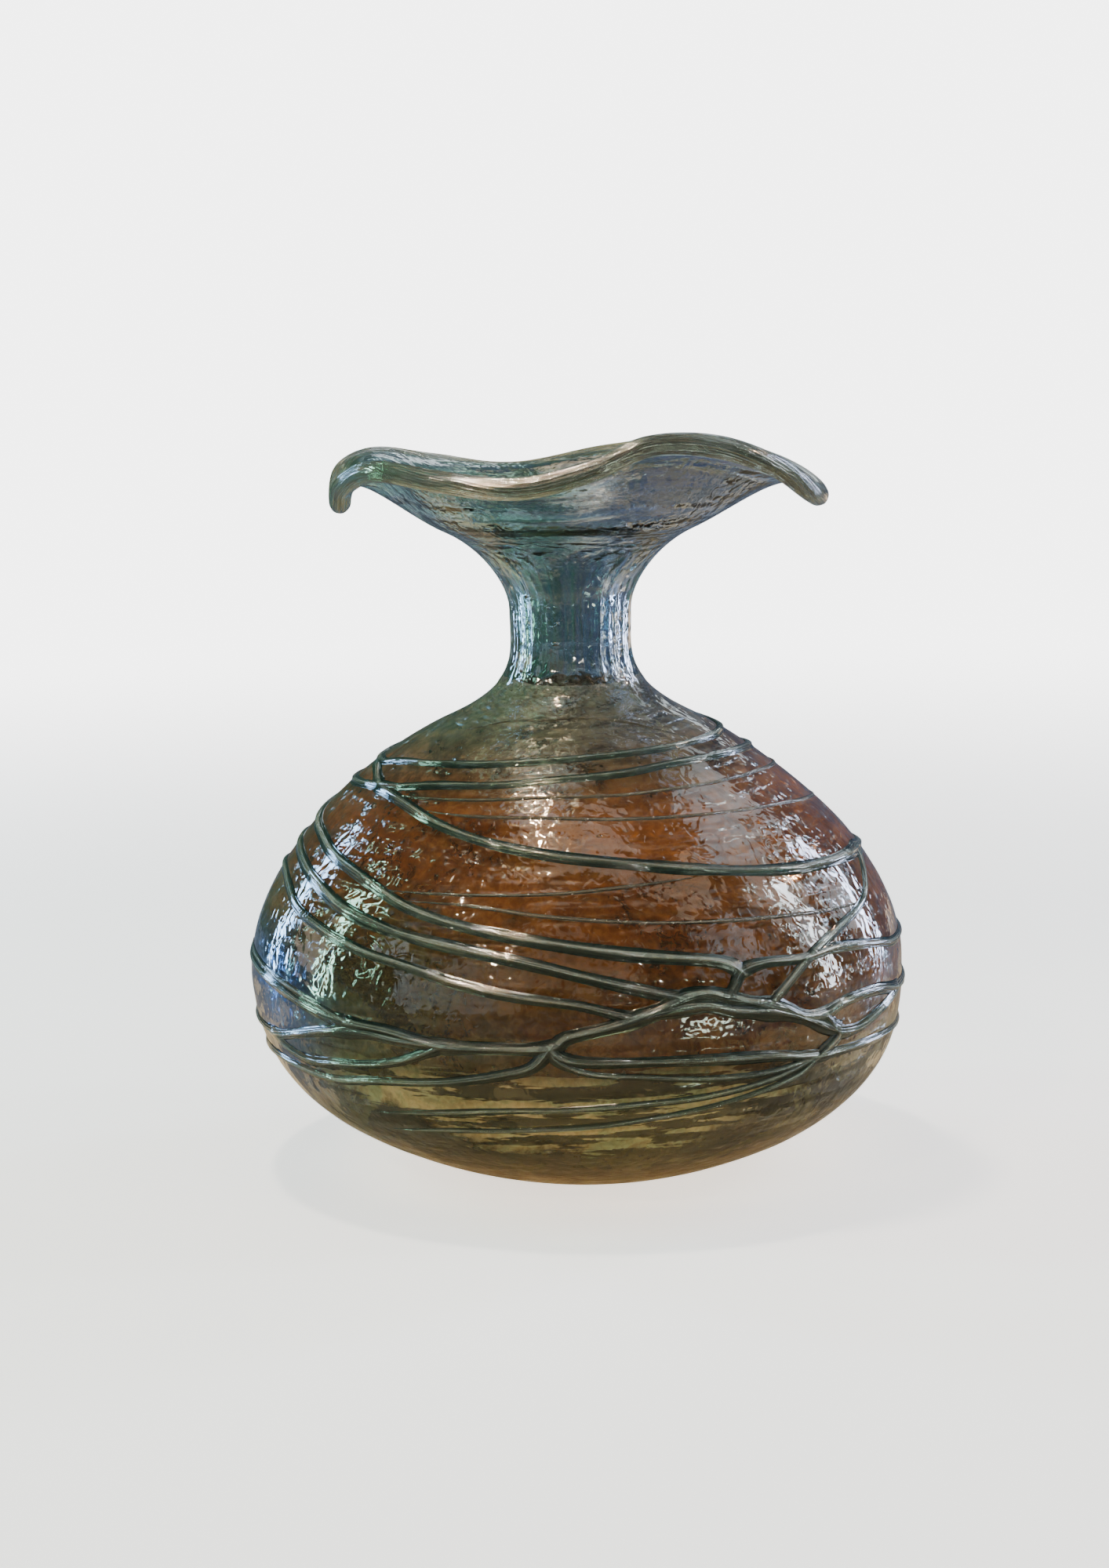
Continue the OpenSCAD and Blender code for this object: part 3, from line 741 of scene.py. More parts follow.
def trail_mesh(name, v, t, radius, closed, route, seed, material):
    """One trail: a low cord of glass with thin skirts, melted into the body and webbed at its knots."""
    outline = outside_line(v)
    path = spline(route, closed, TRAIL_STEPS)
    if closed:
        path = np.vstack([path, path[0] + [360.0, 0.0]])
    spots, _ = on_body(outline, v.join_height, path)
    where = along(spots)
    count = max(8, int(round(where[-1] / TRAIL_PITCH)))
    tip = 0.0 if closed else TIP_REACH * radius
    runs = np.linspace(-tip, where[-1] + tip, count + 1)
    if closed:
        runs = runs[:-1]
    slope_in = (path[1] - path[0]) / (where[1] - where[0])
    slope_out = (path[-1] - path[-2]) / (where[-1] - where[-2])
    rows = np.stack([np.interp(runs, where, path[:, k]) for k in range(2)], axis=1)
    rows += np.minimum(runs, 0.0)[:, None] * slope_in
    rows += np.maximum(runs - where[-1], 0.0)[:, None] * slope_out
    points, normals = on_body(outline, v.join_height, rows)
    if closed:
        way = np.roll(points, -1, axis=0) - np.roll(points, 1, axis=0)
    else:
        way = np.gradient(points, axis=0)
    way = unit(way)
    side = unit(np.cross(way, normals))
    lift = np.cross(side, way)
    upper = 1.0 if side[:, 2].mean() > 0 else -1.0

    knots = np.array([on_body(outline, v.join_height, np.array([k], float))[0][0]
                      for k in KNOTS.values()])
    near = np.linalg.norm(points[:, None, :] - knots[None], axis=2).min(axis=1)
    web = np.exp(-(near / WEB_REACH) ** 2)
    steps = np.stack([runs * 38, 0 * runs, 0 * runs], axis=1)
    if closed:
        spin = runs / runs[-1] * 2 * math.pi
        steps = round_axis(3, spin, 0 * spin)
    width = t.spread * radius * (1 + 0.16 * wave(steps, seed)) * (1 + 0.45 * web)
    height = t.rise * radius * (1 + 0.2 * wave(steps, seed + 0.5)) * (1 - 0.15 * web)
    if not closed:
        for start, distance in ((route[0], runs + tip), (route[-1], where[-1] + tip - runs)):
            dome = np.sqrt(np.clip(1 - (1 - np.clip(distance / (2 * tip), 0, 1)) ** 2, 0.003, 1))
            thin = 1.0 if is_knot(start) else 0.25 + 0.75 * smooth_step(0.0, 30 * MM, distance)
            width = width * np.maximum(dome, 0.1) * thin
            height = height * dome * thin

    dome = np.exp(-(np.abs(SKIRT) / 0.98) ** 2.3)
    dome[0] = dome[-1] = -0.10
    across = np.concatenate([SKIRT, UNDERSIDE])
    rise = np.concatenate([dome, UNDERSIDE_DEPTHS])
    groove = 0.10 * np.sin(4.2 * across[None, :] + 0.6 * np.sin(runs[:, None] * 60 + seed))
    above = np.where(rise > 0.2, groove, 0.0)
    ring = settle(points[:, None, :] + (width[:, None] * across)[..., None] * side[:, None, :]
                  + (height[:, None] * (rise * (1 + above)) - SINK)[..., None] * lift[:, None, :])
    sides = len(across)
    # The grain's second number grows upwards across the trail, so that the glass can paint a highlight
    # above the middle line and shade below it.
    grain = np.stack([np.tile(runs[:, None] * 30, (1, sides)),
                      np.tile(across * 2.6 * upper, (len(runs), 1)) + 0.5 * wave(steps, seed + 2)[:, None],
                      np.full((len(runs), sides), seed * 3.7)], axis=2)
    if closed:
        spin = runs / runs[-1] * 2 * math.pi
        grain[..., 0] = 6 * np.cos(spin)[:, None]
        grain[..., 2] += 6 * np.sin(spin)[:, None]
    flat_points = ring.reshape(-1, 3)
    faces = grid_faces(len(runs), sides, closed, True)
    if not closed:
        last = (len(runs) - 1) * sides
        faces += [tuple(range(sides)), tuple(last + k for k in reversed(range(sides)))]
    faces = facing_out(flat_points, faces)
    return make_mesh(name + "_drawn", flat_points, faces, grain.reshape(-1, 3), [material])


# ---------------------------------------------------------------- materials

class Wiring:
    """Adds nodes to one shader tree and gives back the sockets that come out of them."""

    def __init__(self, tree):
        self.tree = tree

    def feed(self, made, sockets):
        """Sets or links the inputs of a node by name or number; a colour gets full alpha."""
        for name, value in sockets.items():
            socket = made.inputs[name]
            if isinstance(value, bpy.types.NodeSocket):
                self.tree.links.new(value, socket)
            elif socket.type == "RGBA":
                socket.default_value = (*value, 1.0)[:4]
            else:
                socket.default_value = value

    def node(self, kind, sockets, **settings):
        """The outputs of a new node."""
        made = self.tree.nodes.new("ShaderNode" + kind)
        for name, value in settings.items():
            setattr(made, name, value)
        self.feed(made, sockets)
        return made.outputs

    def group(self, tree, **sockets):
        """The outputs of a shared group with its own values."""
        return self.node("Group", sockets, node_tree=tree)

    def mix(self, factor, first, second, blend="MIX"):
        """A mix of two colours."""
        return self.node("Mix", {0: factor, 6: first, 7: second}, data_type="RGBA", blend_type=blend)[2]

    def ramp(self, value, low, high, bottom=0.0, top=1.0):
        """A value moved from one range to another, with soft ends."""
        return self.node("MapRange", {"Value": value, "From Min": low, "From Max": high,
                                      "To Min": bottom, "To Max": top}, interpolation_type="SMOOTHSTEP")[0]

    def math(self, operation, first, second=0.0):
        """One step of arithmetic."""
        return self.node("Math", {0: first, 1: second}, operation=operation)[0]

    def times(self, first, second):
        """One value times another."""
        return self.math("MULTIPLY", first, second)

    def noise(self, place, scale, detail, roughness=0.5, distortion=0.0):
        """Soft random values at a place."""
        return self.node("TexNoise", {"Vector": place, "Scale": scale, "Detail": detail,
                                      "Roughness": roughness, "Distortion": distortion})[0]

    def split(self, vector):
        """The three parts of a vector, by name."""
        return self.node("SeparateXYZ", {"Vector": vector})

    def object_place(self):
        """The place of a point in its object's own frame."""
        return self.node("TexCoord", {})["Object"]

    def seen(self):
        """1 where the eye looks straight at a point, 0 where the glass mirrors it or lets it through."""
        return self.node("LightPath", {})["Is Camera Ray"]


def darker(colour, share):
    """A share of a colour."""
    return [share * c for c in colour]


def blank_group(name, inputs, outputs):
    """The wiring of a new node group with named inputs and outputs, and its two end nodes."""
    tree = bpy.data.node_groups.new(name, "ShaderNodeTree")
    for socket, kind, default in inputs:
        made = tree.interface.new_socket(name=socket, in_out="INPUT", socket_type=kind)
        if default is not None:
            made.default_value = default
    for socket in outputs:
        tree.interface.new_socket(name=socket, in_out="OUTPUT", socket_type="NodeSocketFloat")
    return Wiring(tree), tree.nodes.new("NodeGroupInput").outputs, tree.nodes.new("NodeGroupOutput")


def drawn_streaks():
    """Streaks that run the way the glass was drawn, as a mask and as a height."""
    n, given, out = blank_group(
        "drawn_streaks",
        [("Grain", "NodeSocketVector", None), ("Scale", "NodeSocketFloat", 1.0),
         ("Low", "NodeSocketFloat", 0.4), ("High", "NodeSocketFloat", 0.6)], ["Mask", "Height"])
    broad = n.noise(given["Grain"], given["Scale"], 3.0, 0.6, 0.4)
    n.feed(out, {"Mask": n.ramp(broad, given["Low"], given["High"]),
                 "Height": n.noise(given["Grain"], given["Scale"], 0.6, 0.5, 0.4)})
    return n.tree


def hot_ripple():
    """The soft unevenness and small pits of hand worked glass, as a height and as patches."""
    n, given, out = blank_group(
        "hot_ripple",
        [("Place", "NodeSocketVector", None), ("Scale", "NodeSocketFloat", 60.0),
         ("Crumple", "NodeSocketFloat", 0.12)], ["Height", "Patches"])
    soft = n.noise(given["Place"], given["Scale"], 2.0, 0.45, 0.6)
    fine = n.noise(given["Place"], n.times(given["Scale"], 4.0), 0.5, 0.5, 1.2)
    n.feed(out, {"Height": n.math("ADD", soft, n.times(fine, given["Crumple"])),
                 "Patches": n.ramp(soft, 0.42, 0.62)})
    return n.tree


def new_material(name):
    """A new material with its wiring and its shader."""
    material = bpy.data.materials.new(name)
    material.use_nodes = True
    return material, Wiring(material.node_tree), material.node_tree.nodes["Principled BSDF"]


def new_glass(name, transmission, roughness):
    """A glass shader with the grain, the place and the parts of the place of a point at hand."""
    material, n, shader = new_material(name)
    n.feed(shader, {"Transmission Weight": transmission, "Roughness": roughness, "IOR": 1.5})
    grain = n.node("Attribute", {}, attribute_name="grain")["Vector"]
    place = n.object_place()
    return material, n, shader, grain, place, n.split(place)


def finish_glass(n, shader, colour, height, depth, strength=1.0):
    """Gives a glass its colour and its unevenness, a depth in metres."""
    normal = n.node("Bump", {"Height": height, "Strength": strength, "Distance": depth})[0]
    n.feed(shader, {"Base Color": colour, "Normal": normal})


def absorb(n, tint, density):
    """Lets thick glass take on its own colour."""
    volume = n.node("VolumeAbsorption", {"Color": tint, "Density": density})[0]
    n.feed(n.tree.nodes["Material Output"], {"Volume": volume})


# Heights in metres between which one look gives way to the next, from the foot up
FOOT_SHADE = (0.006, 0.032)
BASE_EDGE = (0.040, 0.048)
BAND_TOP = (0.048, 0.064)
LINING_BLUE_REFLECTION_TOP = (0.070, 0.100)
BLUE_REFLECTION_TOP = (0.080, 0.110)
OLIVE_TOP = (0.125, 0.085)
SHOULDER_ASH = (0.134, 0.165)
NECK_SMOKE = (0.150, 0.182)
NECK_DRAW = (0.165, 0.190)
LINING_END = (0.172, 0.194)

# Colours that no setting holds
# Painted reflections of green light on the left and blue light on the right, taken on by the streaks of
# the neck and the rim
LEFT_GREEN_REFLECTION = (0.62, 0.98, 0.82)
RIGHT_BLUE_REFLECTION = (0.70, 0.78, 1.0)
# Painted shade: the grey that the outer glass turns towards the foot
FOOT_SHADE_GREY = (0.46, 0.47, 0.42)
BAND_GREEN = (0.55, 0.58, 0.30)
ASH_PALE = (0.17, 0.15, 0.11)
ASH_DARK = (0.075, 0.070, 0.055)
STONE_WHITE = (0.7, 0.75, 0.73)
FAR_TABLE = (0.06, 0.075, 0.10)
# Glows of the table that only the glass sees, as painted reflections: the dark, the gold patches, the far
# gleam and the light pane
TABLE_DARK = (0.024, 0.022, 0.016)
TABLE_PAINTED_GOLD_GLOW = (0.52, 0.37, 0.16)
TABLE_FAR_GLEAM = (0.012, 0.017, 0.026)
PANE_PAINTED_GLOW = (15.0, 17.5, 14.0)
WARM_PANE = (1.0, 0.74, 0.52)
COOL_PANE = (0.80, 0.92, 1.0)
LEFT_DUSK = (0.055, 0.105, 0.078)
RIGHT_DUSK = (0.09, 0.11, 0.175)

# Dark strands, light strands, transmission, and the density and tint of the depth
LIP_LOOK = ((0.42, 0.44, 0.33), (0.84, 0.95, 0.84), 0.95, 12.0, (0.50, 0.78, 0.62))
# The threads get the same painted highlight above their middle line and painted shade below it.
THREAD_LOOK = ((0.10, 0.09, 0.06), (0.72, 0.72, 0.58), 0.80, 300.0, (0.40, 0.56, 0.46))
TRAIL_TRANSMISSION = 0.86
TRAIL_DENSITY = 100.0
# Half the width of a trail in its grain, by which the painted highlight above its middle line and the
# painted shade below it are placed
TRAIL_GRAIN = 3.4


def clear_glass(g, streaks, ripple):
    """Clear glass, smoky in the neck and the rim, whose streaks there are painted green on the left and
    blue on the right as painted reflections of green and blue light, painted blue low on the left edge as
    a painted reflection, and painted greyer towards the foot as painted shade.
    """
    material, n, shader, grain, place, xyz = new_glass("clear_glass", 1.0, 0.055)
    strands = n.group(streaks, Grain=grain, Scale=0.5, Low=0.42, High=0.60)
    up = n.ramp(xyz["Z"], *NECK_SMOKE)
    # Painted reflection: the streaks in the neck and the rim turn green on the left and blue on the right.
    pale = n.mix(n.ramp(xyz["X"], -0.030, 0.030), LEFT_GREEN_REFLECTION, RIGHT_BLUE_REFLECTION)
    smoke = n.mix(strands["Mask"], g.smoke, pale)
    # Painted reflection: the outer glass is tinted blue low on its left edge.
    left = n.times(n.ramp(xyz["X"], -0.108, -0.072, 1.0, 0.0), n.ramp(xyz["Z"], *BLUE_REFLECTION_TOP, 1.0, 0.0))
    # Painted shade: the outer glass turns greyer towards the foot.
    outer = n.mix(n.ramp(xyz["Z"], *FOOT_SHADE, 1.0, 0.0), g.clear, FOOT_SHADE_GREY)
    colour = n.mix(up, n.mix(left, outer, g.blue), smoke)
    waver = n.group(ripple, Place=place, Scale=55.0, Crumple=0.24)
    rings = n.group(streaks, Grain=grain, Scale=1.4, Low=0.45, High=0.75)
    drawn = n.times(n.mix(up, rings["Height"], strands["Height"]), n.ramp(xyz["Z"], *NECK_DRAW, 0.35, 0.7))
    finish_glass(n, shader, colour, n.math("ADD", waver["Height"], drawn), 0.9 * MM)
    absorb(n, g.depth_tint, 14.0)
    return material


def lining_glass(g, streaks, ripple):
    """The brown lining: rust and umber above, olive and gold bands below, smoky at the shoulder; the gold
    of the bands is partly painted light from the table below, and the lining is painted dark blue low on
    its left edge as a painted reflection.
    """
    material, n, shader, grain, place, xyz = new_glass("lining_glass", 0.38, 0.05)
    clouds = n.noise(place, 21.0, 6.0, 0.66, 1.4)
    blotch = n.ramp(clouds, 0.42, 0.60)
    mottle = n.mix(blotch, darker(g.olive, 0.42), g.olive)
    side = n.times(n.ramp(xyz["X"], -0.075, 0.020, 0.88, 0.0), n.ramp(xyz["Z"], *OLIVE_TOP))
    brown = n.mix(side, n.mix(blotch, g.rust, g.umber), mottle)

    # The bands are the lining's own drawn strands; their gold and green are partly painted light, standing
    # for warm light from the table below.
    strands = n.group(streaks, Grain=grain, Scale=1.9, Low=0.475, High=0.525)
    band = strands["Mask"]
    bands = n.mix(band, darker(g.olive, 0.45), n.mix(blotch, g.gold, BAND_GREEN))
    outline = n.times(n.times(band, n.math("SUBTRACT", 1.0, band)), 3.2)
    bands = n.mix(outline, bands, darker(g.olive, 0.25))
    body = n.mix(n.ramp(xyz["Z"], *BAND_TOP, 1.0, 0.0), brown, bands)

    aside = n.ramp(n.math("ABSOLUTE", xyz["X"]), 0.020, 0.105, 0.0, 0.024)
    depth = n.math("ADD", n.math("SUBTRACT", xyz["Z"], aside), n.times(clouds, 0.03))
    puddle = n.mix(n.ramp(clouds, 0.50, 0.53), darker(g.olive, 0.18), darker(g.olive, 0.7))
    body = n.mix(n.ramp(depth, *BASE_EDGE, 1.0, 0.0), body, puddle)
    # Painted reflection: the lining is tinted dark blue low on its left edge.
    left = n.times(n.ramp(xyz["X"], -0.106, -0.078, 0.85, 0.0),
                   n.ramp(xyz["Z"], *LINING_BLUE_REFLECTION_TOP, 1.0, 0.0))
    body = n.mix(left, body, darker(g.blue, 0.22))
    body = n.mix(n.ramp(xyz["Z"], *SHOULDER_ASH), body, n.mix(blotch, ASH_PALE, ASH_DARK))

    speck = n.ramp(n.noise(place, 240.0, 4.0, 0.7, 0.8), 0.38, 0.62, 0.80, 1.14)
    body = n.mix(1.0, body, speck, "MULTIPLY")
    colour = n.mix(n.ramp(xyz["Z"], *LINING_END), body, g.smoke)
    waver = n.group(ripple, Place=place, Scale=44.0, Crumple=0.17)
    height = n.math("ADD", waver["Height"], n.times(strands["Height"], 0.8))
    finish_glass(n, shader, colour, height, 1.8 * MM)
    return material


def ground_glass(g, ripple):
    """The ground ring under the foot, dull from the stone."""
    material, n, shader, _, place, _ = new_glass("ground_glass", 1.0, 0.4)
    waver = n.group(ripple, Place=place, Scale=400.0)
    n.feed(shader, {"Roughness": n.ramp(waver["Patches"], 0.0, 1.0, 0.35, 0.6)})
    finish_glass(n, shader, n.mix(waver["Patches"], g.clear, STONE_WHITE), waver["Height"], 0.1 * MM, 0.3)
    return material


def streaked_glass(name, streaks, ripple, look, edge=None):
    """Drawn glass with light strands in a darker body; a trail or a thread gets a painted highlight just
    above its middle line and painted shade below it and at its edges.
    """
    dark, light, transmission, density, tint = look
    material, n, shader, grain, place, _ = new_glass(name, transmission, 0.07)
    strands = n.group(streaks, Grain=grain, Scale=1.0, Low=0.42, High=0.58)
    mask = strands["Mask"]
    if edge:
        # Painted highlight and shade: light strands only in a band just above the middle line, dark below
        # it and at the edges.
        above = n.math("ABSOLUTE", n.math("SUBTRACT", n.split(grain)["Y"], 0.22 * edge))
        middle = n.ramp(above, 0.18 * edge, 0.72 * edge, 1.0, 0.0)
        mask = n.times(middle, n.math("ADD", 0.22, n.times(mask, 0.95)))
    waver = n.group(ripple, Place=place, Scale=120.0, Crumple=0.1)
    height = n.math("ADD", strands["Height"], n.times(waver["Height"], 0.5))
    finish_glass(n, shader, n.mix(mask, dark, light), height, 0.5 * MM, 0.8)
    absorb(n, tint, density)
    return material


# Where a painted light pane glows on the table, seen only in the glass
PANE_SPOT = (0.34, -0.40, 0.0)


def floor_material(s):
    """A pale matt floor with a faint unevenness, lightened for the eye; the glass sees a dim tan table
    that glows with painted gold patches and a painted light pane as painted reflections, with painted
    shadow under the vase.
    """
    material, n, shader = new_material("pale_floor")
    place = n.object_place()
    pale = n.mix(n.noise(place, 3.0, 2.0), s.floor_colour, darker(s.floor_colour, 0.97))
    seen = n.seen()
    reach = n.node("VectorMath", {0: place}, operation="LENGTH")["Value"]
    # Painted shadow under the vase, on the glow that the glass sees from the table.
    shade = n.ramp(reach, 0.08, 0.17, 0.10, 1.0)
    table = n.mix(n.ramp(reach, 0.22, 0.45), s.table_colour, FAR_TABLE)
    n.feed(shader, {"Roughness": 0.6, "Emission Strength": s.glow,
                    "Alpha": n.ramp(reach, 0.5, 1.7, 1.0, 0.0),
                    "Base Color": n.mix(seen, table, pale)})
    # Painted reflections: for the glass the table glows dark with gold patches near the vase, faintly
    # further out, and white at one light pane.
    patches = n.noise(place, 8.0, 1.5, 0.5, 1.4)
    lit = n.mix(n.ramp(patches, 0.53, 0.56), TABLE_DARK, TABLE_PAINTED_GOLD_GLOW)
    lit = n.mix(n.ramp(reach, 0.28, 0.52), lit, TABLE_FAR_GLEAM)
    aside = n.node("VectorMath", {0: place, 1: PANE_SPOT}, operation="DISTANCE")["Value"]
    pane = n.times(n.ramp(aside, 0.07, 0.09, 1.0, 0.0), n.ramp(patches, 0.43, 0.46))
    lit = n.mix(1.0, n.mix(pane, lit, PANE_PAINTED_GLOW), shade, "MULTIPLY")
    n.feed(shader, {"Emission Color": n.mix(seen, lit, pale)})
    return material


# ---------------------------------------------------------------- the stage

CAMERA_SPOT = Vector((-0.007, -1.2, 0.330))
CAMERA_AIM = Vector((-0.007, 0.0, 0.1396))
CAMERA_LENS = 75.05
CAMERA_ROLL = -1.1
LIGHT_AIM = Vector((0.0, 0.0, 0.12))

# Each soft box: degrees round from the camera to the right, distance, height, size, watts and tint
LIGHTS = [
    ("left_green_box", -98, 1.5, 0.50, (0.10, 1.2), 18, (0.50, 1.0, 0.78)),
    ("left_blue_box", -128, 1.6, 0.35, (0.14, 1.2), 24, (0.35, 0.62, 1.0)),
    ("right_pale_box", 96, 1.5, 0.55, (0.10, 1.2), 13, (0.86, 0.93, 1.0)),
    ("right_violet_box", 126, 1.6, 0.40, (0.14, 1.2), 22, (0.60, 0.70, 1.0)),
    ("top_box", -125, 0.35, 1.9, (0.12, 0.12), 22, (1.0, 0.88, 0.74)),
    ("lamp_high", -108, 0.32, 2.0, (0.03, 0.03), 18, (1.0, 0.68, 0.40)),
    ("lamp_middle", -66, 0.29, 2.0, (0.03, 0.03), 20, (1.0, 0.68, 0.40)),
    ("lamp_front", -36, 0.43, 2.0, (0.03, 0.03), 15, (1.0, 0.70, 0.42)),
    ("lamp_left", -56, 1.5, 1.9, (0.03, 0.03), 12, (1.0, 0.82, 0.60)),
    ("lamp_ember", 107, 1.24, 0.95, (0.03, 0.03), 7, (1.0, 0.45, 0.22)),
    ("warm_box", -30, 1.8, 1.25, (0.05, 0.04), 10, (1.0, 0.78, 0.54)),
    ("low_box", 16, 1.8, 0.55, (0.05, 0.04), 6, (1.0, 0.94, 0.86)),
]


def soft_light(name, spot, size, watts, tint):
    """A soft box that the camera doesn't see; a lamp only shows as glints on the outer glass."""
    data = bpy.data.lights.new(name, "AREA")
    data.shape = "RECTANGLE"
    data.size, data.size_y = size
    data.energy = watts
    data.color = tint
    lamp = add_object(name, data)
    lamp.location = spot
    lamp.rotation_mode = "QUATERNION"
    lamp.rotation_quaternion = (LIGHT_AIM - Vector(spot)).to_track_quat("-Z", "Y")
    lamp.visible_camera = False
    if name.startswith("lamp"):
        data.use_shadow = lamp.visible_diffuse = lamp.visible_transmission = False


def place_camera():
    """The camera in front of the vase and a little above it."""
    data = bpy.data.cameras.new("camera")
    data.lens = CAMERA_LENS
    data.sensor_width = 36.0
    camera = add_object("camera", data)
    camera.location = CAMERA_SPOT
    camera.rotation_mode = "QUATERNION"
    look = (CAMERA_AIM - CAMERA_SPOT).to_track_quat("-Z", "Y")
    camera.rotation_quaternion = look @ Quaternion((0, 0, 1), math.radians(CAMERA_ROLL))
    bpy.context.scene.camera = camera


def room(s):
    """A dark room with light panes for the glass to mirror, and a pale backdrop for the eye."""
    world = bpy.data.worlds.new("room")
    world.use_nodes = True
    n = Wiring(world.node_tree)
    place = n.node("TexCoord", {})["Generated"]
    panes = n.node("TexVoronoi", {"Vector": place, "Scale": 3.4, "Randomness": 0.8},
                   distance="CHEBYCHEV")["Color"]
    chance = n.node("SeparateColor", {"Color": panes})
    xyz = n.split(place)
    lit = n.times(n.ramp(chance["Red"], 0.78, 0.81), n.ramp(xyz["Y"], -0.7, -0.1, 0.30, 1.0))
    tint = n.mix(n.ramp(chance["Green"], 0.3, 0.7), WARM_PANE, COOL_PANE)
    light = n.mix(1.0, tint, (s.panes, s.panes, s.panes), "MULTIPLY")
    behind = n.mix(n.ramp(xyz["X"], -0.25, 0.25), LEFT_DUSK, RIGHT_DUSK)
    dusk = n.mix(n.ramp(xyz["Y"], 0.2, 0.8), (s.dim, s.dim, 0.9 * s.dim), behind)
    dark = world.node_tree.nodes["Background"]
    n.feed(dark, {"Color": n.mix(lit, dusk, light), "Strength": 1.0})
    pale = n.node("Background", {"Color": (1, 1, 1), "Strength": s.bright})[0]
    both = n.node("MixShader", {0: n.seen(), 1: dark.outputs[0], 2: pale})[0]
    n.feed(world.node_tree.nodes["World Output"], {"Surface": both})
    bpy.context.scene.world = world


def floor_mesh(material):
    """A wide round floor that fades out at its edge."""
    spokes, radii = 64, [0.2, 0.5, 0.8, 1.1, 1.4, 1.7]
    points = [(0.0, 0.0, 0.0)]
    for radius in radii:
        turns = (2 * math.pi * k / spokes for k in range(spokes))
        points += [(radius * math.cos(turn), radius * math.sin(turn), 0.0) for turn in turns]
    faces = [(0, 1 + k, 1 + (k + 1) % spokes) for k in range(spokes)]
    faces += [tuple(reversed(f)) for f in grid_faces(len(radii), spokes, False, True, 1)]
    mesh = bpy.data.meshes.new("floor")
    mesh.from_pydata(points, [], faces)
    mesh.materials.append(material)
    ground = add_object("floor", mesh)


# ---------------------------------------------------------------- operators

GROUPS = {}


def shared_groups():
    """The two effects that every glass uses, made once."""
    if not GROUPS:
        GROUPS["streaks"] = drawn_streaks()
        GROUPS["ripple"] = hot_ripple()
    return GROUPS["streaks"], GROUPS["ripple"]


class VASE_OT_blow_vessel(bpy.types.Operator):
    """Blows the vessel: body, neck and waved rim, with its lining and its ground foot"""
    bl_idname = "vase.blow_vessel"
    bl_label = "Blow the vessel"

    def execute(self, context):
        scene = context.scene
        g = scene.vase_glass
        streaks, ripple = shared_groups()
        materials = [clear_glass(g, streaks, ripple), lining_glass(g, streaks, ripple),
                     ground_glass(g, ripple)]
        piece = vessel_mesh(scene.vase_vessel, scene.vase_lip.radius, materials)
        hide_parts("bulb", "colour_lining", "neck", "flared_rim")
        return {"FINISHED"}


class VASE_OT_wrap_lip(bpy.types.Operator):
    """Wraps the thick rounded lip round the edge of the rim"""
    bl_idname = "vase.wrap_lip"
    bl_label = "Wrap the lip"

    def execute(self, context):
        scene = context.scene
        streaks, ripple = shared_groups()
        material = streaked_glass("lip_glass", streaks, ripple, LIP_LOOK)
        piece = lip_mesh(scene.vase_vessel, scene.vase_lip.radius, material)
        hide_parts("lip_wrap")
        return {"FINISHED"}


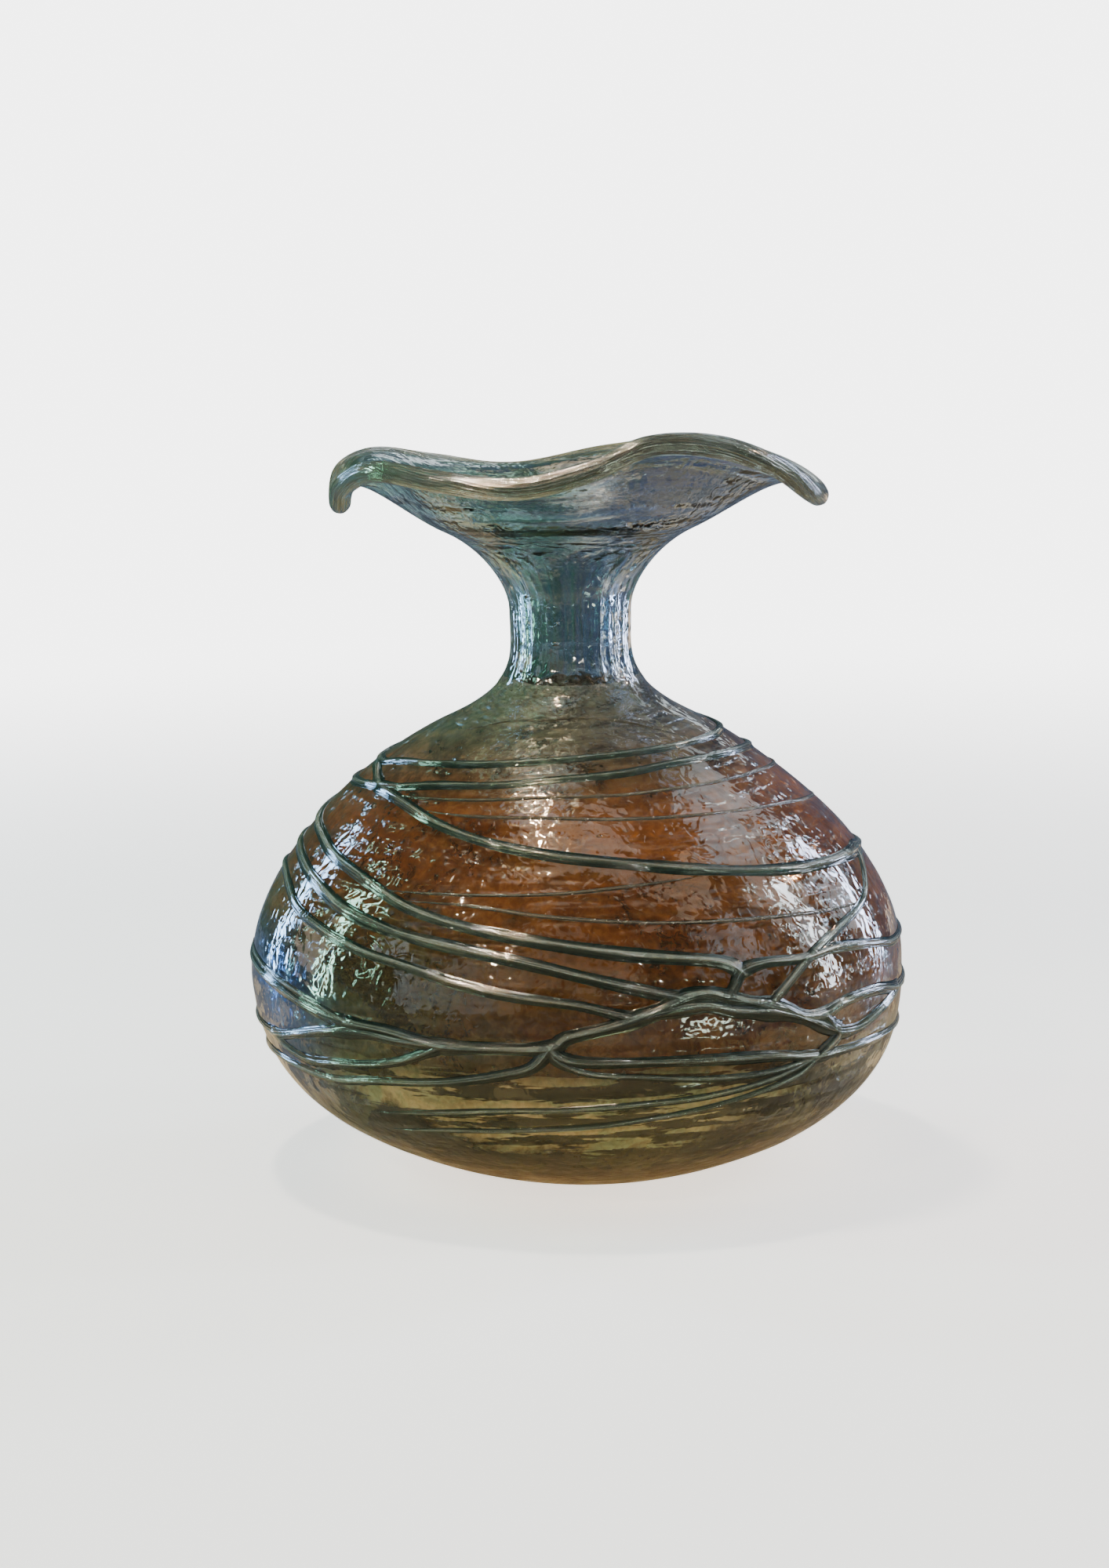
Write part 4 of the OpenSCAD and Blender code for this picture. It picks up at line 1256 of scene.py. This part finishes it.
class VASE_OT_draw_trails(bpy.types.Operator):
    """Draws the trails and the hair threads round the body and melts them in"""
    bl_idname = "vase.draw_trails"
    bl_label = "Draw the trails"

    def execute(self, context):
        scene = context.scene
        g, t, v = scene.vase_glass, scene.vase_trails, scene.vase_vessel
        streaks, ripple = shared_groups()
        look = (g.moss_and_shade, g.aqua_and_highlight, TRAIL_TRANSMISSION, TRAIL_DENSITY, g.teal)
        trail = streaked_glass("trail_glass", streaks, ripple, look, TRAIL_GRAIN)
        thread = streaked_glass("thread_glass", streaks, ripple, THREAD_LOOK, TRAIL_GRAIN)
        radii = {"heavy": t.heavy, "middle": t.middle, "fine": t.fine, "hair": t.hair}
        for seed, (name, (kind, closed, route)) in enumerate(TRAILS.items()):
            material, slot = (thread, "thread_glass") if kind == "hair" else (trail, "trail_glass")
            piece = trail_mesh(name, v, t, radii[kind], closed, route, seed, material)
            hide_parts(name)
        return {"FINISHED"}


class VASE_OT_set_stage(bpy.types.Operator):
    """Lays the pale floor and sets the camera, the room and the soft lights"""
    bl_idname = "vase.set_stage"
    bl_label = "Set the stage"

    def execute(self, context):
        s = context.scene.vase_stage
        floor_mesh(floor_material(s))
        place_camera()
        room(s)
        for name, degrees, distance, height, *look in LIGHTS:
            turn = math.radians(degrees)
            soft_light(name, (distance * math.sin(turn), -distance * math.cos(turn), height), *look)
        return {"FINISHED"}


class VASE_PT_panel(bpy.types.Panel):
    """Lists the steps of making the vase, with their sizes and colours"""
    bl_label = "Glass Vase"
    bl_idname = "VASE_PT_panel"
    bl_space_type = "VIEW_3D"
    bl_region_type = "UI"
    bl_category = "Glass Vase"

    def draw(self, context):
        for step in OPERATORS:
            self.layout.operator(step.bl_idname)
        for name, settings in SETTINGS.items():
            box = self.layout.box()
            box.label(text=settings.__doc__)
            for field in settings.__annotations__:
                box.prop(getattr(context.scene, name), field)


SETTINGS = {"vase_vessel": VesselSettings, "vase_lip": LipSettings, "vase_trails": TrailSettings,
            "vase_glass": GlassSettings, "vase_stage": StageSettings}
OPERATORS = (VASE_OT_blow_vessel, VASE_OT_wrap_lip, VASE_OT_draw_trails, VASE_OT_set_stage)


def register():
    """Makes the settings, the operators and the panel known to Blender."""
    for name, settings in SETTINGS.items():
        bpy.utils.register_class(settings)
        setattr(bpy.types.Scene, name, bpy.props.PointerProperty(type=settings))
    for made in (*OPERATORS, VASE_PT_panel):
        bpy.utils.register_class(made)


def unregister():
    """Takes them away again, last first."""
    for made in reversed((*OPERATORS, VASE_PT_panel)):
        bpy.utils.unregister_class(made)
    for name, settings in SETTINGS.items():
        delattr(bpy.types.Scene, name)
        bpy.utils.unregister_class(settings)


def main():
    """Makes the whole vase and its stage."""
    register()
    bpy.ops.vase.blow_vessel()
    bpy.ops.vase.wrap_lip()
    bpy.ops.vase.draw_trails()
    bpy.ops.vase.set_stage()
    bpy.context.view_layer.update()


if __name__ == "__main__":
    main()
